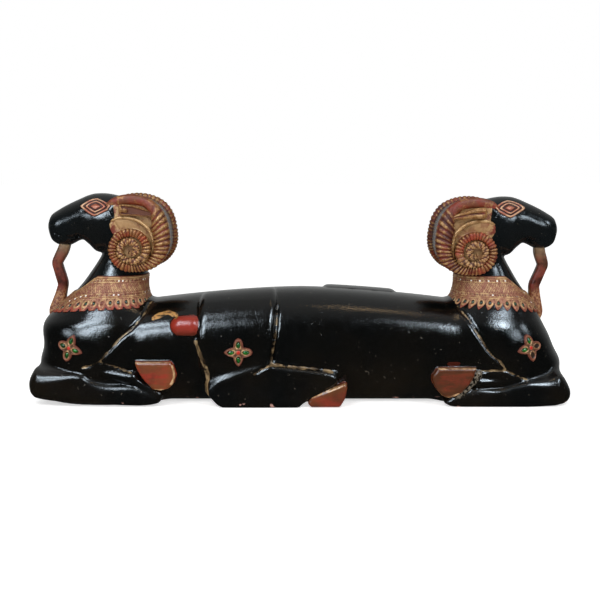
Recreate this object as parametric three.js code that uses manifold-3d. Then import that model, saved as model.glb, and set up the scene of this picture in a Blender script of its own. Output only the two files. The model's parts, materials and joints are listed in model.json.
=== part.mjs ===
// A two-headed ram carving: two rams lie side by side, head to rump, and share one long body of wood.
// The near ram faces +X and the far ram faces -X, so the second is the first turned half a turn about Z.
// Millimetres, +Z up. The origin is on the ground, under the middle of the body.
// Each ram is described in its own frame: x runs forwards to its nose, y is its side, z is up.
import * as THREE from "three";
import { mergeVertices } from "three/addons/utils/BufferGeometryUtils.js";
import Module from "manifold-3d";

const wasm = await Module();
wasm.setup();

// The two rams differ a little, because they were carved by hand.
// head is the shift of the head and horns forwards and upwards, foot that of the front hoof, chest
// that of the breast, and strap that of the chin strap's lower end. shoulder is the groove behind the
// shoulder, from the back to the elbow, and flowerLean the degrees that the shoulder flowers lean.
const RAMS = [
  {
    side: "right",
    facing: 1,
    flowerLean: 12,
    head: { forward: 8, up: -6 },
    foot: { forward: 8, up: -4 },
    chest: 0,
    strap: -7,
    shoulder: [[284, 172], [303, 136], [338, 84], [360, 68]],
  },
  {
    side: "left",
    facing: -1,
    flowerLean: 18,
    head: { forward: 0, up: 0 },
    foot: { forward: -8, up: 0 },
    chest: 6,
    strap: 0,
    shoulder: [[258, 186], [280, 152], [308, 112], [336, 80]],
  },
];

// The shared body is a log with a rounded top that falls towards both ends.
const BODY = {
  halfWidth: 101,
  top: 202,
  fall: 22,
  fallAt: 275,
  fallPower: 1.6,
  axis: 96,
  depthBelow: 104,
  squareness: 2.3,
  end: 330,
  endRounding: 60,
};

// Level sections of the forequarters and neck: height, back edge, front edge and half width.
const FOREQUARTER = [
  [0, 236, 466, 94],
  [40, 236, 472, 101],
  [70, 238, 469, 104],
  [105, 240, 464, 105],
  [140, 246, 460, 97],
  [165, 258, 442, 82],
  [182, 276, 425, 70],
  [200, 282, 407, 60],
  [230, 282, 385, 50],
  [268, 283, 362, 44],
  [310, 290, 350, 42],
];
const SHOULDER_TOP = 176;
const SHOULDER_ROUNDING = 24;
const SHOULDER_BLEND = 14;
const SECTION_SQUARENESS = 2.35;
const BREAST = { z: 130, spread: 50 };
const GROUND_ROUNDING = 5;

// Upright sections of the head: distance forwards, underside, top and half width.
const HEAD = [
  [316, 262, 365, 44],
  [350, 264, 373, 46],
  [374, 268, 374, 43],
  [388, 281, 370, 38],
  [400, 289, 365, 35],
  [424, 279, 353, 30],
  [440, 281, 342, 26],
  [450, 290, 332, 19],
  [454, 304, 322, 10],
];
const NOSE = { x: 456, z: 313 };

// The haunch is a raised part of the log, from the rump to a groove in front of the thigh.
const HAUNCH = {
  rump: -182,
  rumpLean: 0.0014,
  rumpLeanBelow: 130,
  groove: -40,
  grooveLean: 0.11,
  grooveTop: 176,
  riseAtBack: 1,
  riseAtSide: 12,
  fullRiseAt: 75,
  rounding: 16,
  ridge: 1,
};

// Limbs are tapered rods with round ends: both ends as [x, y, z, radius], y outwards. A limb that
// lies on the ground is square below at its second end, where its side meets the ground in an edge.
const FORELEG = { from: [452, 60, 34, 37], to: [288, 76, 29, 35], squareEnd: true };
const CANNON = { from: [366, 90, 62, 9], to: [300, 92, 44, 22], squareEnd: false };
const THIGH_FOOT = { from: [-126, 78, 32, 36], to: [-14, 80, 33, 36], squareEnd: true };
const HOCK = { from: [-14, 90, 43, 25], to: [48, 92, 45, 19], squareEnd: false };
const TAIL = { from: [-202, 84, 137, 23], to: [-184, 84, 137, 25], squareEnd: false };

// Hoof outlines seen from the side, x and z, and how far each reaches across.
const FRONT_HOOF = {
  outline: [[234, 71], [302, 71], [298, 56], [261, 18], [250, 16], [229, 42], [227, 58]],
  inside: 70,
  outside: 111,
};
const HIND_HOOF = {
  outline: [[16, 0], [15, 12], [76, 42], [84, 30], [80, 0]],
  inside: 72,
  outside: 115,
};
const HOOF_BEVEL = 4;

// A horn is a ribbed band wound round a boss. Each row is the turn in degrees, the outer and inner
// radius of the band round the boss, and how far out from the middle plane the band's middle lies.
const BOSS = { x: 304, z: 276 };
const HORN = [
  [66, 86, 72, 38],
  [88, 92, 77, 41],
  [109, 97, 79, 44],
  [126, 95, 74, 46],
  [138, 88, 58, 48],
  [155, 79, 45, 50],
  [180, 71, 38, 52],
  [206, 61, 34, 55],
  [240, 48, 25, 59],
  [270, 41.5, 21.5, 62],
  [360, 39, 20, 65],
  [450, 38.5, 19.5, 66],
  [540, 37.5, 17, 67],
  [585, 29.5, 14, 68],
  [630, 21.5, 9.5, 69],
  [720, 20, 8, 70],
  [900, 17, 4, 72],
  [1010, 8, -3, 74],
];
const RIBS = { from: 126, coarseFrom: 246, to: 540, pitch: 12, coarsePitch: 27, depth: 2.6 };
const HORN_STEP = 36;
const HORN_THICKNESS = 0.85;
const HORN_SHOULDER = 0.35;

// The solid wood between the two horns, and the boss that carries the curl.
const HORN_CORE = { x: 292, z: 305, radius: 56, halfWidth: 50, facets: 14, bevel: 8 };
const BOSS_CORE = { radius: 35, halfWidth: 62, facets: 10, bevel: 5 };

// The ear lies along the side of the head, blunt in front and pointed behind.
const EAR = [
  [322, 346, 10, 5],
  [316, 346, 11, 8],
  [300, 345, 9.5, 8],
  [280, 341, 7, 6],
  [258, 337, 2, 2],
];
const EAR_OUT = 50;

// The strap from chin to breast: middle line as forwards and up, with its width and thickness.
const STRAP = [[430, 288], [436, 270], [448, 247], [437, 208], [444, 180], [450, 158], [446, 140]];
const STRAP_SIZE = { width: 19, across: 24, bevel: 4 };

// The collar: heights of its edges in front and behind, its thickness, and its row of leaves.
const COLLAR = {
  topFront: 196,
  topBehind: 227,
  bottomFront: 162,
  bottomBehind: 174,
  rise: 2.6,
  leaves: 24,
  leafDrop: 5,
};

// Four-petalled flowers on shoulders and haunches: place on the ram, turn, and lost chips.
const FLOWER = { reach: 25, petalAt: 15, petalTurn: 21, waist: 8, rise: 4.2, depth: 9 };
const CHIP = { at: 12.5, length: 11, width: 6.5, thickness: 1.6 };
const TOUCH = 0.3;
const GROOVE = { width: 16, endWidth: 8, depth: 5, above: 5 };
const THIGH_GROOVE = [[-40, 160], [-42, 130], [-50, 78]];
const SHOULDER_FLOWER = { x: 407, z: 105 };
const HAUNCH_FLOWER = { x: -108, z: 100 };

const degrees = Math.PI / 180;
const TINY = 1e-6;

function smoothMin(a, b, radius) {
  const near = Math.max(radius - Math.abs(a - b), 0) / radius;
  return Math.min(a, b) - (near * near * radius) / 4;
}

function smoothMax(a, b, radius) {
  return -smoothMin(-a, -b, radius);
}

// A smooth curve through rows of [place, value, value, ...]: gives the values at a place.
function through(rows) {
  const slope = (i, k) => {
    const a = rows[Math.max(i - 1, 0)];
    const b = rows[Math.min(i + 1, rows.length - 1)];
    return (b[k] - a[k]) / (b[0] - a[0]);
  };
  return (place) => {
    const t = Math.min(Math.max(place, rows[0][0]), rows[rows.length - 1][0]);
    let i = 0;
    while (i < rows.length - 2 && rows[i + 1][0] < t) i += 1;
    const gap = rows[i + 1][0] - rows[i][0];
    const u = (t - rows[i][0]) / gap;
    return rows[i].slice(1).map((a, n) => {
      const k = n + 1;
      const b = rows[i + 1][k];
      const bend = u * u * (3 - 2 * u);
      const start = u * (1 - u) * (1 - u) * gap * slope(i, k);
      const end = u * u * (u - 1) * gap * slope(i + 1, k);
      return a + (b - a) * bend + start + end;
    });
  };
}

// How far a point at (a, b) from the middle of a rounded section with half sizes A and B lies outside it.
function outsideSection(a, b, A, B, squareness) {
  const share = (Math.abs(a / A) ** squareness + Math.abs(b / B) ** squareness) ** (1 / squareness);
  return share < TINY ? -Math.min(A, B) : Math.hypot(a, b) * (1 - 1 / share);
}

function logField(x, y, z) {
  const top = BODY.top - BODY.fall * Math.abs(x / BODY.fallAt) ** BODY.fallPower;
  const half = z > BODY.axis ? top - BODY.axis : BODY.depthBelow;
  const round = outsideSection(y, z - BODY.axis, BODY.halfWidth, half, BODY.squareness);
  return smoothMax(round, Math.abs(x) - BODY.end, BODY.endRounding);
}

const forequarterAt = through(FOREQUARTER);

function forequarterField(ram, x, y, z) {
  const [back, front, half] = forequarterAt(z);
  const breast = front + ram.chest * Math.exp(-(((z - BREAST.z) / BREAST.spread) ** 2));
  const middle = (back + breast) / 2;
  return outsideSection(x - middle, y, breast - middle, half, SECTION_SQUARENESS);
}

function haunchField(x, y, z) {
  const side = Math.min(Math.max(-y / HAUNCH.fullRiseAt, 0), 1);
  const rise = HAUNCH.riseAtBack + (HAUNCH.riseAtSide - HAUNCH.riseAtBack) * side;
  const rump = HAUNCH.rump + HAUNCH.rumpLean * Math.max(HAUNCH.rumpLeanBelow - z, 0) ** 2;
  const groove = HAUNCH.groove - HAUNCH.grooveLean * Math.max(HAUNCH.grooveTop - z, 0);
  const skin = logField(x, y, z) - rise;
  const behind = smoothMax(skin, rump - x, HAUNCH.rounding);
  const inFront = smoothMax(behind, x - groove, HAUNCH.rounding);
  return smoothMax(inFront, y, HAUNCH.ridge);
}

// The trunk: log, haunches and the forequarters up to the shoulders, as one field, negative inside.
function trunkField(x, y, z) {
  let field = logField(x, y, z);
  for (const ram of RAMS) {
    const forwards = ram.facing * x;
    const across = ram.facing * y;
    const fore = smoothMax(forequarterField(ram, forwards, across, z), z - SHOULDER_TOP, SHOULDER_ROUNDING);
    field = smoothMin(field, forwards > 0 ? fore : Infinity, SHOULDER_BLEND);
    field = Math.min(field, haunchField(forwards, across, z));
  }
  return smoothMax(field, -z, GROUND_ROUNDING);
}

// The first place along a ray, from a point inside, where the field stops being negative.
function reach(field, origin, direction, limit) {
  const STEP = 4;
  const HALVINGS = 14;
  const at = (t) => {
    const p = origin.clone().addScaledVector(direction, t);
    return field(p.x, p.y, p.z);
  };
  let far = STEP;
  while (far < limit && at(far) < 0) far += STEP;
  if (far >= limit) return limit;
  let near = far - STEP;
  for (let i = 0; i < HALVINGS; i += 1) {
    const middle = (near + far) / 2;
    if (at(middle) < 0) near = middle;
    else far = middle;
  }
  return near;
}

// A closed skin over rings of points. A ring of one point is a pole, and other open ends are filled.
function skin(rings) {
  const position = [];
  const index = [];
  const starts = [];
  const ends = [];
  const centre = (ring) => ring.reduce((sum, p) => sum.add(p), new THREE.Vector3()).divideScalar(ring.length);
  const closed = [...rings];
  if (closed[0].length > 1) closed.unshift([centre(closed[0])]);
  if (closed[closed.length - 1].length > 1) closed.push([centre(closed[closed.length - 1])]);
  for (const ring of closed) {
    starts.push(position.length / 3);
    ends.push(ring.length);
    for (const p of ring) position.push(p.x, p.y, p.z);
  }
  for (let i = 0; i < closed.length - 1; i += 1) {
    const count = Math.max(ends[i], ends[i + 1]);
    for (let j = 0; j < count; j += 1) {
      const next = (j + 1) % count;
      const a = starts[i] + (ends[i] > 1 ? j : 0);
      const b = starts[i] + (ends[i] > 1 ? next : 0);
      const c = starts[i + 1] + (ends[i + 1] > 1 ? j : 0);
      const d = starts[i + 1] + (ends[i + 1] > 1 ? next : 0);
      if (ends[i] > 1) index.push(a, b, c);
      if (ends[i + 1] > 1) index.push(b, d, c);
    }
  }
  const geometry = new THREE.BufferGeometry();
  geometry.setAttribute("position", new THREE.Float32BufferAttribute(position, 3));
  geometry.setIndex(index);
  return geometry;
}

// A closed geometry as a solid that can be joined and cut. Faces that point inwards are turned round.
function solidOf(geometry) {
  const bare = geometry.clone();
  bare.deleteAttribute("normal");
  bare.deleteAttribute("uv");
  const merged = mergeVertices(bare, 1e-3);
  const make = (triVerts) =>
    new wasm.Manifold(
      new wasm.Mesh({ numProp: 3, vertProperties: merged.attributes.position.array, triVerts }),
    );
  const triVerts = new Uint32Array(merged.index.array);
  const made = make(triVerts);
  if (made.volume() > 0) return made;
  for (let i = 0; i < triVerts.length; i += 3) {
    [triVerts[i + 1], triVerts[i + 2]] = [triVerts[i + 2], triVerts[i + 1]];
  }
  return make(triVerts);
}

function geometryOf(solid) {
  const mesh = solid.getMesh();
  const position = new Float32Array(mesh.numVert * 3);
  for (let i = 0; i < mesh.numVert; i += 1) {
    position.set(mesh.vertProperties.subarray(i * mesh.numProp, i * mesh.numProp + 3), i * 3);
  }
  const geometry = new THREE.BufferGeometry();
  geometry.setAttribute("position", new THREE.BufferAttribute(position, 3));
  geometry.setIndex(new THREE.BufferAttribute(new Uint32Array(mesh.triVerts), 1));
  geometry.computeVertexNormals();
  return geometry;
}

// The trunk's skin, cast outwards from a level spine with a round fan of rays at both ends.
function trunkSolid() {
  const SPINE = 362;
  const HEIGHT = 88;
  const AROUND = 26;
  const FAN = 5;
  const ROWS = 21;
  const EDGE = 5;
  const LIMIT = 260;
  const stations = [];
  for (let i = 0; i <= FAN; i += 1) stations.push({ x: -SPINE, lean: 90 - (90 * i) / FAN });
  const along = [];
  for (let i = 1; i < ROWS; i += 1) along.push(SPINE * ((2 * i) / ROWS - 1));
  for (const ram of RAMS) along.push(ram.facing * (HAUNCH.rump - EDGE), ram.facing * (HAUNCH.rump + EDGE));
  along.sort((a, b) => a - b);
  const spaced = along.filter((x, i) => i === 0 || x - along[i - 1] > EDGE);
  for (const x of spaced) stations.push({ x, lean: 0 });
  for (let i = FAN; i >= 0; i -= 1) stations.push({ x: SPINE, lean: -(90 - (90 * i) / FAN) });
  const rings = stations.map(({ x, lean }) => {
    const origin = new THREE.Vector3(x, 0, HEIGHT);
    const count = Math.abs(lean) === 90 ? 1 : AROUND;
    return Array.from({ length: count }, (_, j) => {
      const turn = (2 * Math.PI * j) / AROUND;
      const spread = Math.cos(lean * degrees);
      const direction = new THREE.Vector3(
        -Math.sin(lean * degrees),
        spread * Math.sin(turn),
        spread * Math.cos(turn),
      );
      return origin.clone().addScaledVector(direction, reach(trunkField, origin, direction, LIMIT));
    });
  });
  return solidOf(skin(rings));
}

// A point of the neck's skin, or as far outside it as rise says, at a height and a turn round the neck.
function neckPoint(ram, z, turn, rise) {
  const [back, front, half] = forequarterAt(z);
  const lift = Math.min(Math.max((z - SHOULDER_TOP) / (BOSS.z - SHOULDER_TOP), 0), 1);
  const middle = (back + front) / 2 + ram.head.forward * lift;
  const power = 2 / SECTION_SQUARENESS;
  const c = Math.cos(turn);
  const s = Math.sin(turn);
  return new THREE.Vector3(
    middle + ((front - back) / 2 + rise) * Math.sign(c) * Math.abs(c) ** power,
    (half + rise) * Math.sign(s) * Math.abs(s) ** power,
    z,
  );
}

// The neck above the collar: level rings round a slanting middle line, up into the head.
function neckSolid(ram) {
  const HEIGHTS = [184, 220, 250, 290];
  const AROUND = 16;
  const ringAt = (z) =>
    Array.from({ length: AROUND }, (_, j) => neckPoint(ram, z, (2 * Math.PI * j) / AROUND, 0));
  return solidOf(skin(HEIGHTS.map(ringAt)));
}

function headSolid() {
  const AROUND = 12;
  const rings = HEAD.map(([x, under, top, half]) =>
    Array.from({ length: AROUND }, (_, j) => {
      const turn = (2 * Math.PI * j) / AROUND;
      return new THREE.Vector3(
        x,
        half * Math.sin(turn),
        (under + top) / 2 + ((top - under) / 2) * Math.cos(turn),
      );
    }),
  );
  rings.push([new THREE.Vector3(NOSE.x, 0, NOSE.z)]);
  return solidOf(skin(rings));
}

// A rod with round ends, tapering from one radius to the other.
function rodSolid({ from, to, squareEnd }, side) {
  const AROUND = 8;
  const FAN = 2;
  const a = new THREE.Vector3(from[0], side * from[1], from[2]);
  const b = new THREE.Vector3(to[0], side * to[1], to[2]);
  const axis = b.clone().sub(a).normalize();
  const up = new THREE.Vector3(0, 1, 0).cross(axis).normalize();
  if (up.z < 0) up.negate();
  const aside = axis.clone().cross(up);
  const ring = (middle, radius, lean, squareBelow) =>
    Array.from({ length: Math.abs(lean) === 90 ? 1 : AROUND }, (_, j) => {
      const turn = (2 * Math.PI * (j + 0.5)) / AROUND;
      const spread = radius * Math.cos(lean * degrees);
      const square = squareBelow && Math.sin(turn) < 0;
      const share = square ? Math.sign(Math.cos(turn)) * Math.cos(Math.PI / AROUND) : Math.cos(turn);
      return middle
        .clone()
        .addScaledVector(axis, radius * Math.sin(lean * degrees))
        .addScaledVector(aside, spread * share)
        .addScaledVector(up, spread * Math.sin(turn));
    });
  const rings = [];
  for (let i = 0; i <= FAN; i += 1) rings.push(ring(a, from[3], -90 + (90 * i) / FAN, false));
  for (let i = 0; i <= FAN; i += 1) rings.push(ring(b, to[3], (90 * i) / FAN, squareEnd));
  return solidOf(skin(rings));
}

// An outline seen from the side, extruded across with bevelled edges.
function plateSolid(outline, inside, outside, bevel, side) {
  const shape = new THREE.Shape(outline.map(([x, z]) => new THREE.Vector2(x, z)));
  const geometry = new THREE.ExtrudeGeometry(shape, {
    depth: outside - inside - bevel,
    bevelEnabled: true,
    bevelThickness: bevel,
    bevelSize: bevel,
    bevelOffset: -bevel,
    bevelSegments: 1,
    steps: 1,
  });
  geometry.rotateX(Math.PI / 2);
  geometry.translate(0, -inside, 0);
  if (side > 0) geometry.scale(1, -1, 1);
  return solidOf(geometry);
}

// A disc seen from the side that reaches right across the head.
function discSolid({ radius, halfWidth, facets, bevel }, x, z) {
  const profile = [
    new THREE.Vector2(0, -halfWidth),
    new THREE.Vector2(radius - bevel, -halfWidth),
    new THREE.Vector2(radius, bevel - halfWidth),
    new THREE.Vector2(radius, halfWidth - bevel),
    new THREE.Vector2(radius - bevel, halfWidth),
    new THREE.Vector2(0, halfWidth),
  ];
  const geometry = new THREE.LatheGeometry(profile, facets);
  geometry.translate(x, 0, z);
  return solidOf(geometry);
}

const hornAt = through(HORN);

// Turns at which the horn's band has a section: the crest and foot of each rib, and plain steps.
function hornTurns() {
  const turns = [];
  const last = HORN[HORN.length - 1][0];
  let turn = HORN[0][0];
  while (turn < last) {
    const ribbed = turn >= RIBS.from && turn < RIBS.to;
    const pitch = turn < RIBS.coarseFrom ? RIBS.pitch : RIBS.coarsePitch;
    turns.push({ turn, crest: ribbed ? 0 : 0.5 });
    if (ribbed) turns.push({ turn: turn + pitch / 2, crest: 1 });
    const plain = turn < RIBS.from ? Math.min(turn + HORN_STEP, RIBS.from) : turn + HORN_STEP;
    turn = ribbed ? turn + pitch : plain;
  }
  turns.push({ turn: last, crest: 0 });
  return turns;
}

// One horn: a four-sided band, its flat foot sunk in the head, wound round the boss.
function hornSolid(side) {
  const rings = hornTurns().map(({ turn, crest }) => {
    const [outer, inner, out] = hornAt(turn);
    const cut = RIBS.depth * (1 - crest);
    const half = (outer - inner) / 2;
    const height = half * HORN_THICKNESS;
    const place = (radius, across) =>
      new THREE.Vector3(
        BOSS.x + radius * Math.cos(turn * degrees),
        side * across,
        BOSS.z + radius * Math.sin(turn * degrees),
      );
    return [
      place(outer - cut / 2, out - half),
      place(outer - HORN_SHOULDER * half - cut / 2, out + height - cut),
      place(inner + HORN_SHOULDER * half, out + height - cut),
      place(inner, out - half),
    ];
  });
  return solidOf(skin(rings));
}

function earSolid(side) {
  const AROUND = 6;
  const rings = EAR.map(([x, z, half, out]) =>
    Array.from({ length: AROUND }, (_, j) => {
      const turn = (2 * Math.PI * j) / AROUND;
      return new THREE.Vector3(x, side * (EAR_OUT + out * Math.cos(turn)), z + half * Math.sin(turn));
    }),
  );
  return solidOf(skin(rings));
}

function strapSolid(ram) {
  const points = STRAP.map(([x, z], i) => {
    const lift = 1 - i / (STRAP.length - 1);
    const sway = ram.strap * (1 - lift);
    return new THREE.Vector3(x + ram.head.forward * lift + sway, 0, z + ram.head.up * lift);
  });
  const { width, across, bevel } = STRAP_SIZE;
  const w = width / 2;
  const a = across / 2;
  const shape = new THREE.Shape(
    [
      [a, w - bevel],
      [a - bevel, w],
      [bevel - a, w],
      [-a, w - bevel],
      [-a, bevel - w],
      [bevel - a, -w],
      [a - bevel, -w],
      [a, bevel - w],
    ].map(([u, v]) => new THREE.Vector2(v, u)),
  );
  const geometry = new THREE.ExtrudeGeometry(shape, {
    steps: 8,
    extrudePath: new THREE.CatmullRomCurve3(points),
  });
  return solidOf(geometry);
}

// The collar: the raised lower neck, whose lower edge is a row of pointed leaves.
function collarSolid(ram) {
  const count = COLLAR.leaves * 2;
  const ringAt = (behind, inFront, drop, rise) =>
    Array.from({ length: count }, (_, j) => {
      const turn = (2 * Math.PI * j) / count;
      const front = ((1 + Math.cos(turn)) / 2) ** 3;
      const leaf = j % 2 ? drop / 2 : -drop / 2;
      return neckPoint(ram, behind + (inFront - behind) * front + leaf, turn, rise);
    });
  const bottom = ringAt(COLLAR.bottomBehind, COLLAR.bottomFront, COLLAR.leafDrop, COLLAR.rise);
  const top = ringAt(COLLAR.topBehind, COLLAR.topFront, 0, COLLAR.rise);
  return solidOf(skin([bottom, top]));
}

// Where a side view's point meets a ram's skin, with a frame whose third axis points out of it.
function frameOnSkin(ram, x, z, side) {
  const field = (px, py, pz) => trunkField(ram.facing * px, ram.facing * py, pz);
  const START = 30;
  const LIMIT = 160;
  const REACH = 6;
  const out = new THREE.Vector3(0, side, 0);
  const depthAt = (px, pz) => START + reach(field, new THREE.Vector3(px, side * START, pz), out, LIMIT);
  const at = (px, pz) => new THREE.Vector3(px, side * depthAt(px, pz), pz);
  const along = at(x + REACH, z).sub(at(x - REACH, z)).normalize();
  const upwards = at(x, z + REACH).sub(at(x, z - REACH)).normalize();
  const normal = along.clone().cross(upwards).normalize();
  if (normal.y * side < 0) normal.negate();
  const up = normal.clone().cross(along).normalize();
  return new THREE.Matrix4().makeBasis(up.clone().cross(normal), up, normal).setPosition(at(x, z));
}

// A groove along a line on the skin: a wedge whose edge runs inside the wood.
function grooveSolid(ram, line, side) {
  const rings = line.map(([x, z], i) => {
    const frame = frameOnSkin(ram, x, z, side);
    const [previous, next] = [line[Math.max(i - 1, 0)], line[Math.min(i + 1, line.length - 1)]];
    const run = new THREE.Vector3(next[0] - previous[0], 0, next[1] - previous[1]).normalize();
    const place = new THREE.Vector3().setFromMatrixPosition(frame);
    const normal = new THREE.Vector3().setFromMatrixColumn(frame, 2);
    const aside = run.clone().cross(normal).normalize();
    const ends = i === 0 || i === line.length - 1;
    const half = (ends ? GROOVE.endWidth : GROOVE.width) / 2;
    const top = place.clone().addScaledVector(normal, GROOVE.above);
    return [
      place.clone().addScaledVector(normal, -GROOVE.depth),
      top.clone().addScaledVector(aside, half),
      top.clone().addScaledVector(aside, -half),
    ];
  });
  return solidOf(skin(rings));
}

function grooves(ram) {
  return [
    grooveSolid(ram, ram.shoulder, -1),
    grooveSolid(ram, ram.shoulder, 1),
    grooveSolid(ram, THIGH_GROOVE, -1),
  ];
}

function flowerShape() {
  const { reach: tip, petalAt, petalTurn, waist } = FLOWER;
  const petal = [[0, tip], [petalTurn, petalAt], [45, waist], [90 - petalTurn, petalAt]];
  const corners = [0, 90, 180, 270].flatMap((quarter) =>
    petal.map(([turn, radius]) => {
      const angle = (quarter + turn) * degrees;
      return new THREE.Vector2(radius * Math.cos(angle), radius * Math.sin(angle));
    }),
  );
  return new THREE.Shape(corners);
}

function chipShape() {
  const POINTS = 6;
  const corners = Array.from({ length: POINTS }, (_, i) => {
    const turn = (2 * Math.PI * i) / POINTS;
    return new THREE.Vector2(
      CHIP.at + (CHIP.length / 2) * Math.cos(turn),
      (CHIP.width / 2) * Math.sin(turn),
    );
  });
  return new THREE.Shape(corners);
}

// Every flower: which ram, which side of it, where, how far it is turned, and which chips are lost.
function flowers() {
  const list = [];
  for (const ram of RAMS) {
    for (const across of [-1, 1]) {
      const nearSide = across * ram.facing < 0;
      list.push({
        name: `${ram.side}_shoulder_${nearSide ? "near" : "far"}`,
        ram,
        across,
        place: SHOULDER_FLOWER,
        turn: -across * ram.flowerLean,
        lost: nearSide && ram.side === "right" ? [0, 3] : [],
      });
    }
    list.push({
      name: `${ram.side}_haunch`,
      ram,
      across: -1,
      place: HAUNCH_FLOWER,
      turn: 0,
      lost: [],
    });
  }
  return list;
}

function flowerFrame({ ram, across, place, turn }) {
  const frame = frameOnSkin(ram, place.x, place.z, across);
  return frame.multiply(new THREE.Matrix4().makeRotationZ(turn * degrees));
}

function flowerSolid(frame) {
  const geometry = new THREE.ExtrudeGeometry(flowerShape(), {
    depth: FLOWER.rise + FLOWER.depth,
    bevelEnabled: false,
  });
  geometry.translate(0, 0, -FLOWER.depth);
  geometry.applyMatrix4(frame);
  return solidOf(geometry);
}

function chipGeometry(frame, petal) {
  const geometry = new THREE.ExtrudeGeometry(chipShape(), {
    depth: CHIP.thickness,
    bevelEnabled: false,
  });
  geometry.translate(0, 0, FLOWER.rise + TOUCH);
  geometry.rotateZ((petal * Math.PI) / 2);
  geometry.applyMatrix4(frame);
  return geometry;
}

// Half a turn about Z for the ram that faces the other way.
function turned(ram, solid) {
  return ram.facing > 0 ? solid : solid.rotate([0, 0, 180]);
}

function limbSolids(ram) {
  const parts = [];
  for (const side of [-1, 1]) {
    parts.push(rodSolid(FORELEG, side));
    parts.push(rodSolid(CANNON, side));
    const { outline, inside, outside } = FRONT_HOOF;
    const moved = outline.map(([x, z]) => [x + ram.foot.forward, z + ram.foot.up]);
    parts.push(plateSolid(moved, inside, outside, HOOF_BEVEL, side));
  }
  parts.push(rodSolid(THIGH_FOOT, -1));
  parts.push(rodSolid(HOCK, -1));
  parts.push(rodSolid(TAIL, -1));
  parts.push(plateSolid(HIND_HOOF.outline, HIND_HOOF.inside, HIND_HOOF.outside, HOOF_BEVEL, -1));
  return parts;
}

function headParts(ram) {
  const core = discSolid(HORN_CORE, HORN_CORE.x, HORN_CORE.z);
  const boss = discSolid(BOSS_CORE, BOSS.x, BOSS.z);
  const parts = [headSolid(), core, boss];
  for (const side of [-1, 1]) {
    parts.push(hornSolid(side));
    parts.push(earSolid(side));
  }
  return parts.map((part) => part.translate([ram.head.forward, 0, ram.head.up]));
}

function carvingSolid() {
  let carving = trunkSolid();
  for (const ram of RAMS) {
    const parts = [
      neckSolid(ram),
      ...headParts(ram),
      strapSolid(ram),
      collarSolid(ram),
      ...limbSolids(ram),
    ];
    for (const part of parts) carving = carving.add(turned(ram, part));
    for (const groove of grooves(ram)) carving = carving.subtract(turned(ram, groove));
  }
  for (const flower of flowers()) {
    carving = carving.add(turned(flower.ram, flowerSolid(flowerFrame(flower))));
  }
  const ROOM = 1200;
  const ground = new THREE.BoxGeometry(ROOM, ROOM, ROOM).translate(0, 0, -ROOM / 2);
  return carving.subtract(solidOf(ground));
}

const lacquer = new THREE.MeshStandardMaterial({ color: 0x14120f, roughness: 0.25, metalness: 0 });
const glass = new THREE.MeshStandardMaterial({ color: 0x1f6b2c, roughness: 0.1, metalness: 0 });

function carvingMesh() {
  const mesh = new THREE.Mesh(geometryOf(carvingSolid()), lacquer);
  mesh.name = "ram_carving";
  return mesh;
}

function chipMeshes() {
  return flowers().flatMap((flower) => {
    const frame = flowerFrame(flower);
    const kept = [0, 1, 2, 3].filter((petal) => !flower.lost.includes(petal));
    return kept.map((petal) => {
      const mesh = new THREE.Mesh(chipGeometry(frame, petal), glass.clone());
      mesh.name = `glass_chip_${flower.name}_${petal + 1}`;
      if (flower.ram.facing < 0) mesh.rotation.z = Math.PI;
      return mesh;
    });
  });
}

const object = new THREE.Group();
object.add(carvingMesh(), ...chipMeshes());

export default object;
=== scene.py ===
"""Two-headed ram carving: two rams side by side, head to rump, that share one body of lacquered wood.

The shape functions work in millimetres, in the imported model's frame, and the meshes are made in metres.
Each ram is described in its own frame: x runs forwards to its nose, y is its side, z is up.
"""
import json
import math

import bpy
import numpy as np
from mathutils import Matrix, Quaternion, Vector

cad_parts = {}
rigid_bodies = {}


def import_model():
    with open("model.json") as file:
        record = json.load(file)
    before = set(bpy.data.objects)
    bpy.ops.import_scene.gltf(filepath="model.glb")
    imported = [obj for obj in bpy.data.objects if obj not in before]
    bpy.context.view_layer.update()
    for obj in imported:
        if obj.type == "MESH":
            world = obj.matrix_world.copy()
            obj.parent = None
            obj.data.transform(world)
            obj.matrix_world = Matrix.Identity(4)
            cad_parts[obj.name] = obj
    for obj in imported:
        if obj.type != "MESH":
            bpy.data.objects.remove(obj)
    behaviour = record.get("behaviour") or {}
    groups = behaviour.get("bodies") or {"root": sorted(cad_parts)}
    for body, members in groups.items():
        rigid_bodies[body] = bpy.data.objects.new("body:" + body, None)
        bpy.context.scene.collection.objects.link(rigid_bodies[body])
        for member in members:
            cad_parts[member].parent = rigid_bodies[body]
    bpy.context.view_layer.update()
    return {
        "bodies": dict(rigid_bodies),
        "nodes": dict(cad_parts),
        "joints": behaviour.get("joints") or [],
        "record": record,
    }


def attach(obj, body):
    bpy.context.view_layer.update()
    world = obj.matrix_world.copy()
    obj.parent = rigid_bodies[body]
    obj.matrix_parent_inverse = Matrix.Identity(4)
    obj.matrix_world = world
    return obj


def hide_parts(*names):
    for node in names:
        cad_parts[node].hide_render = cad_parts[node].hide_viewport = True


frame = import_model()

MM = 0.001
WOOD_NODE = "ram_carving"
WOOD_SLOT = "lacquered_wood"
GLASS_SLOT = "green_glass"

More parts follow.
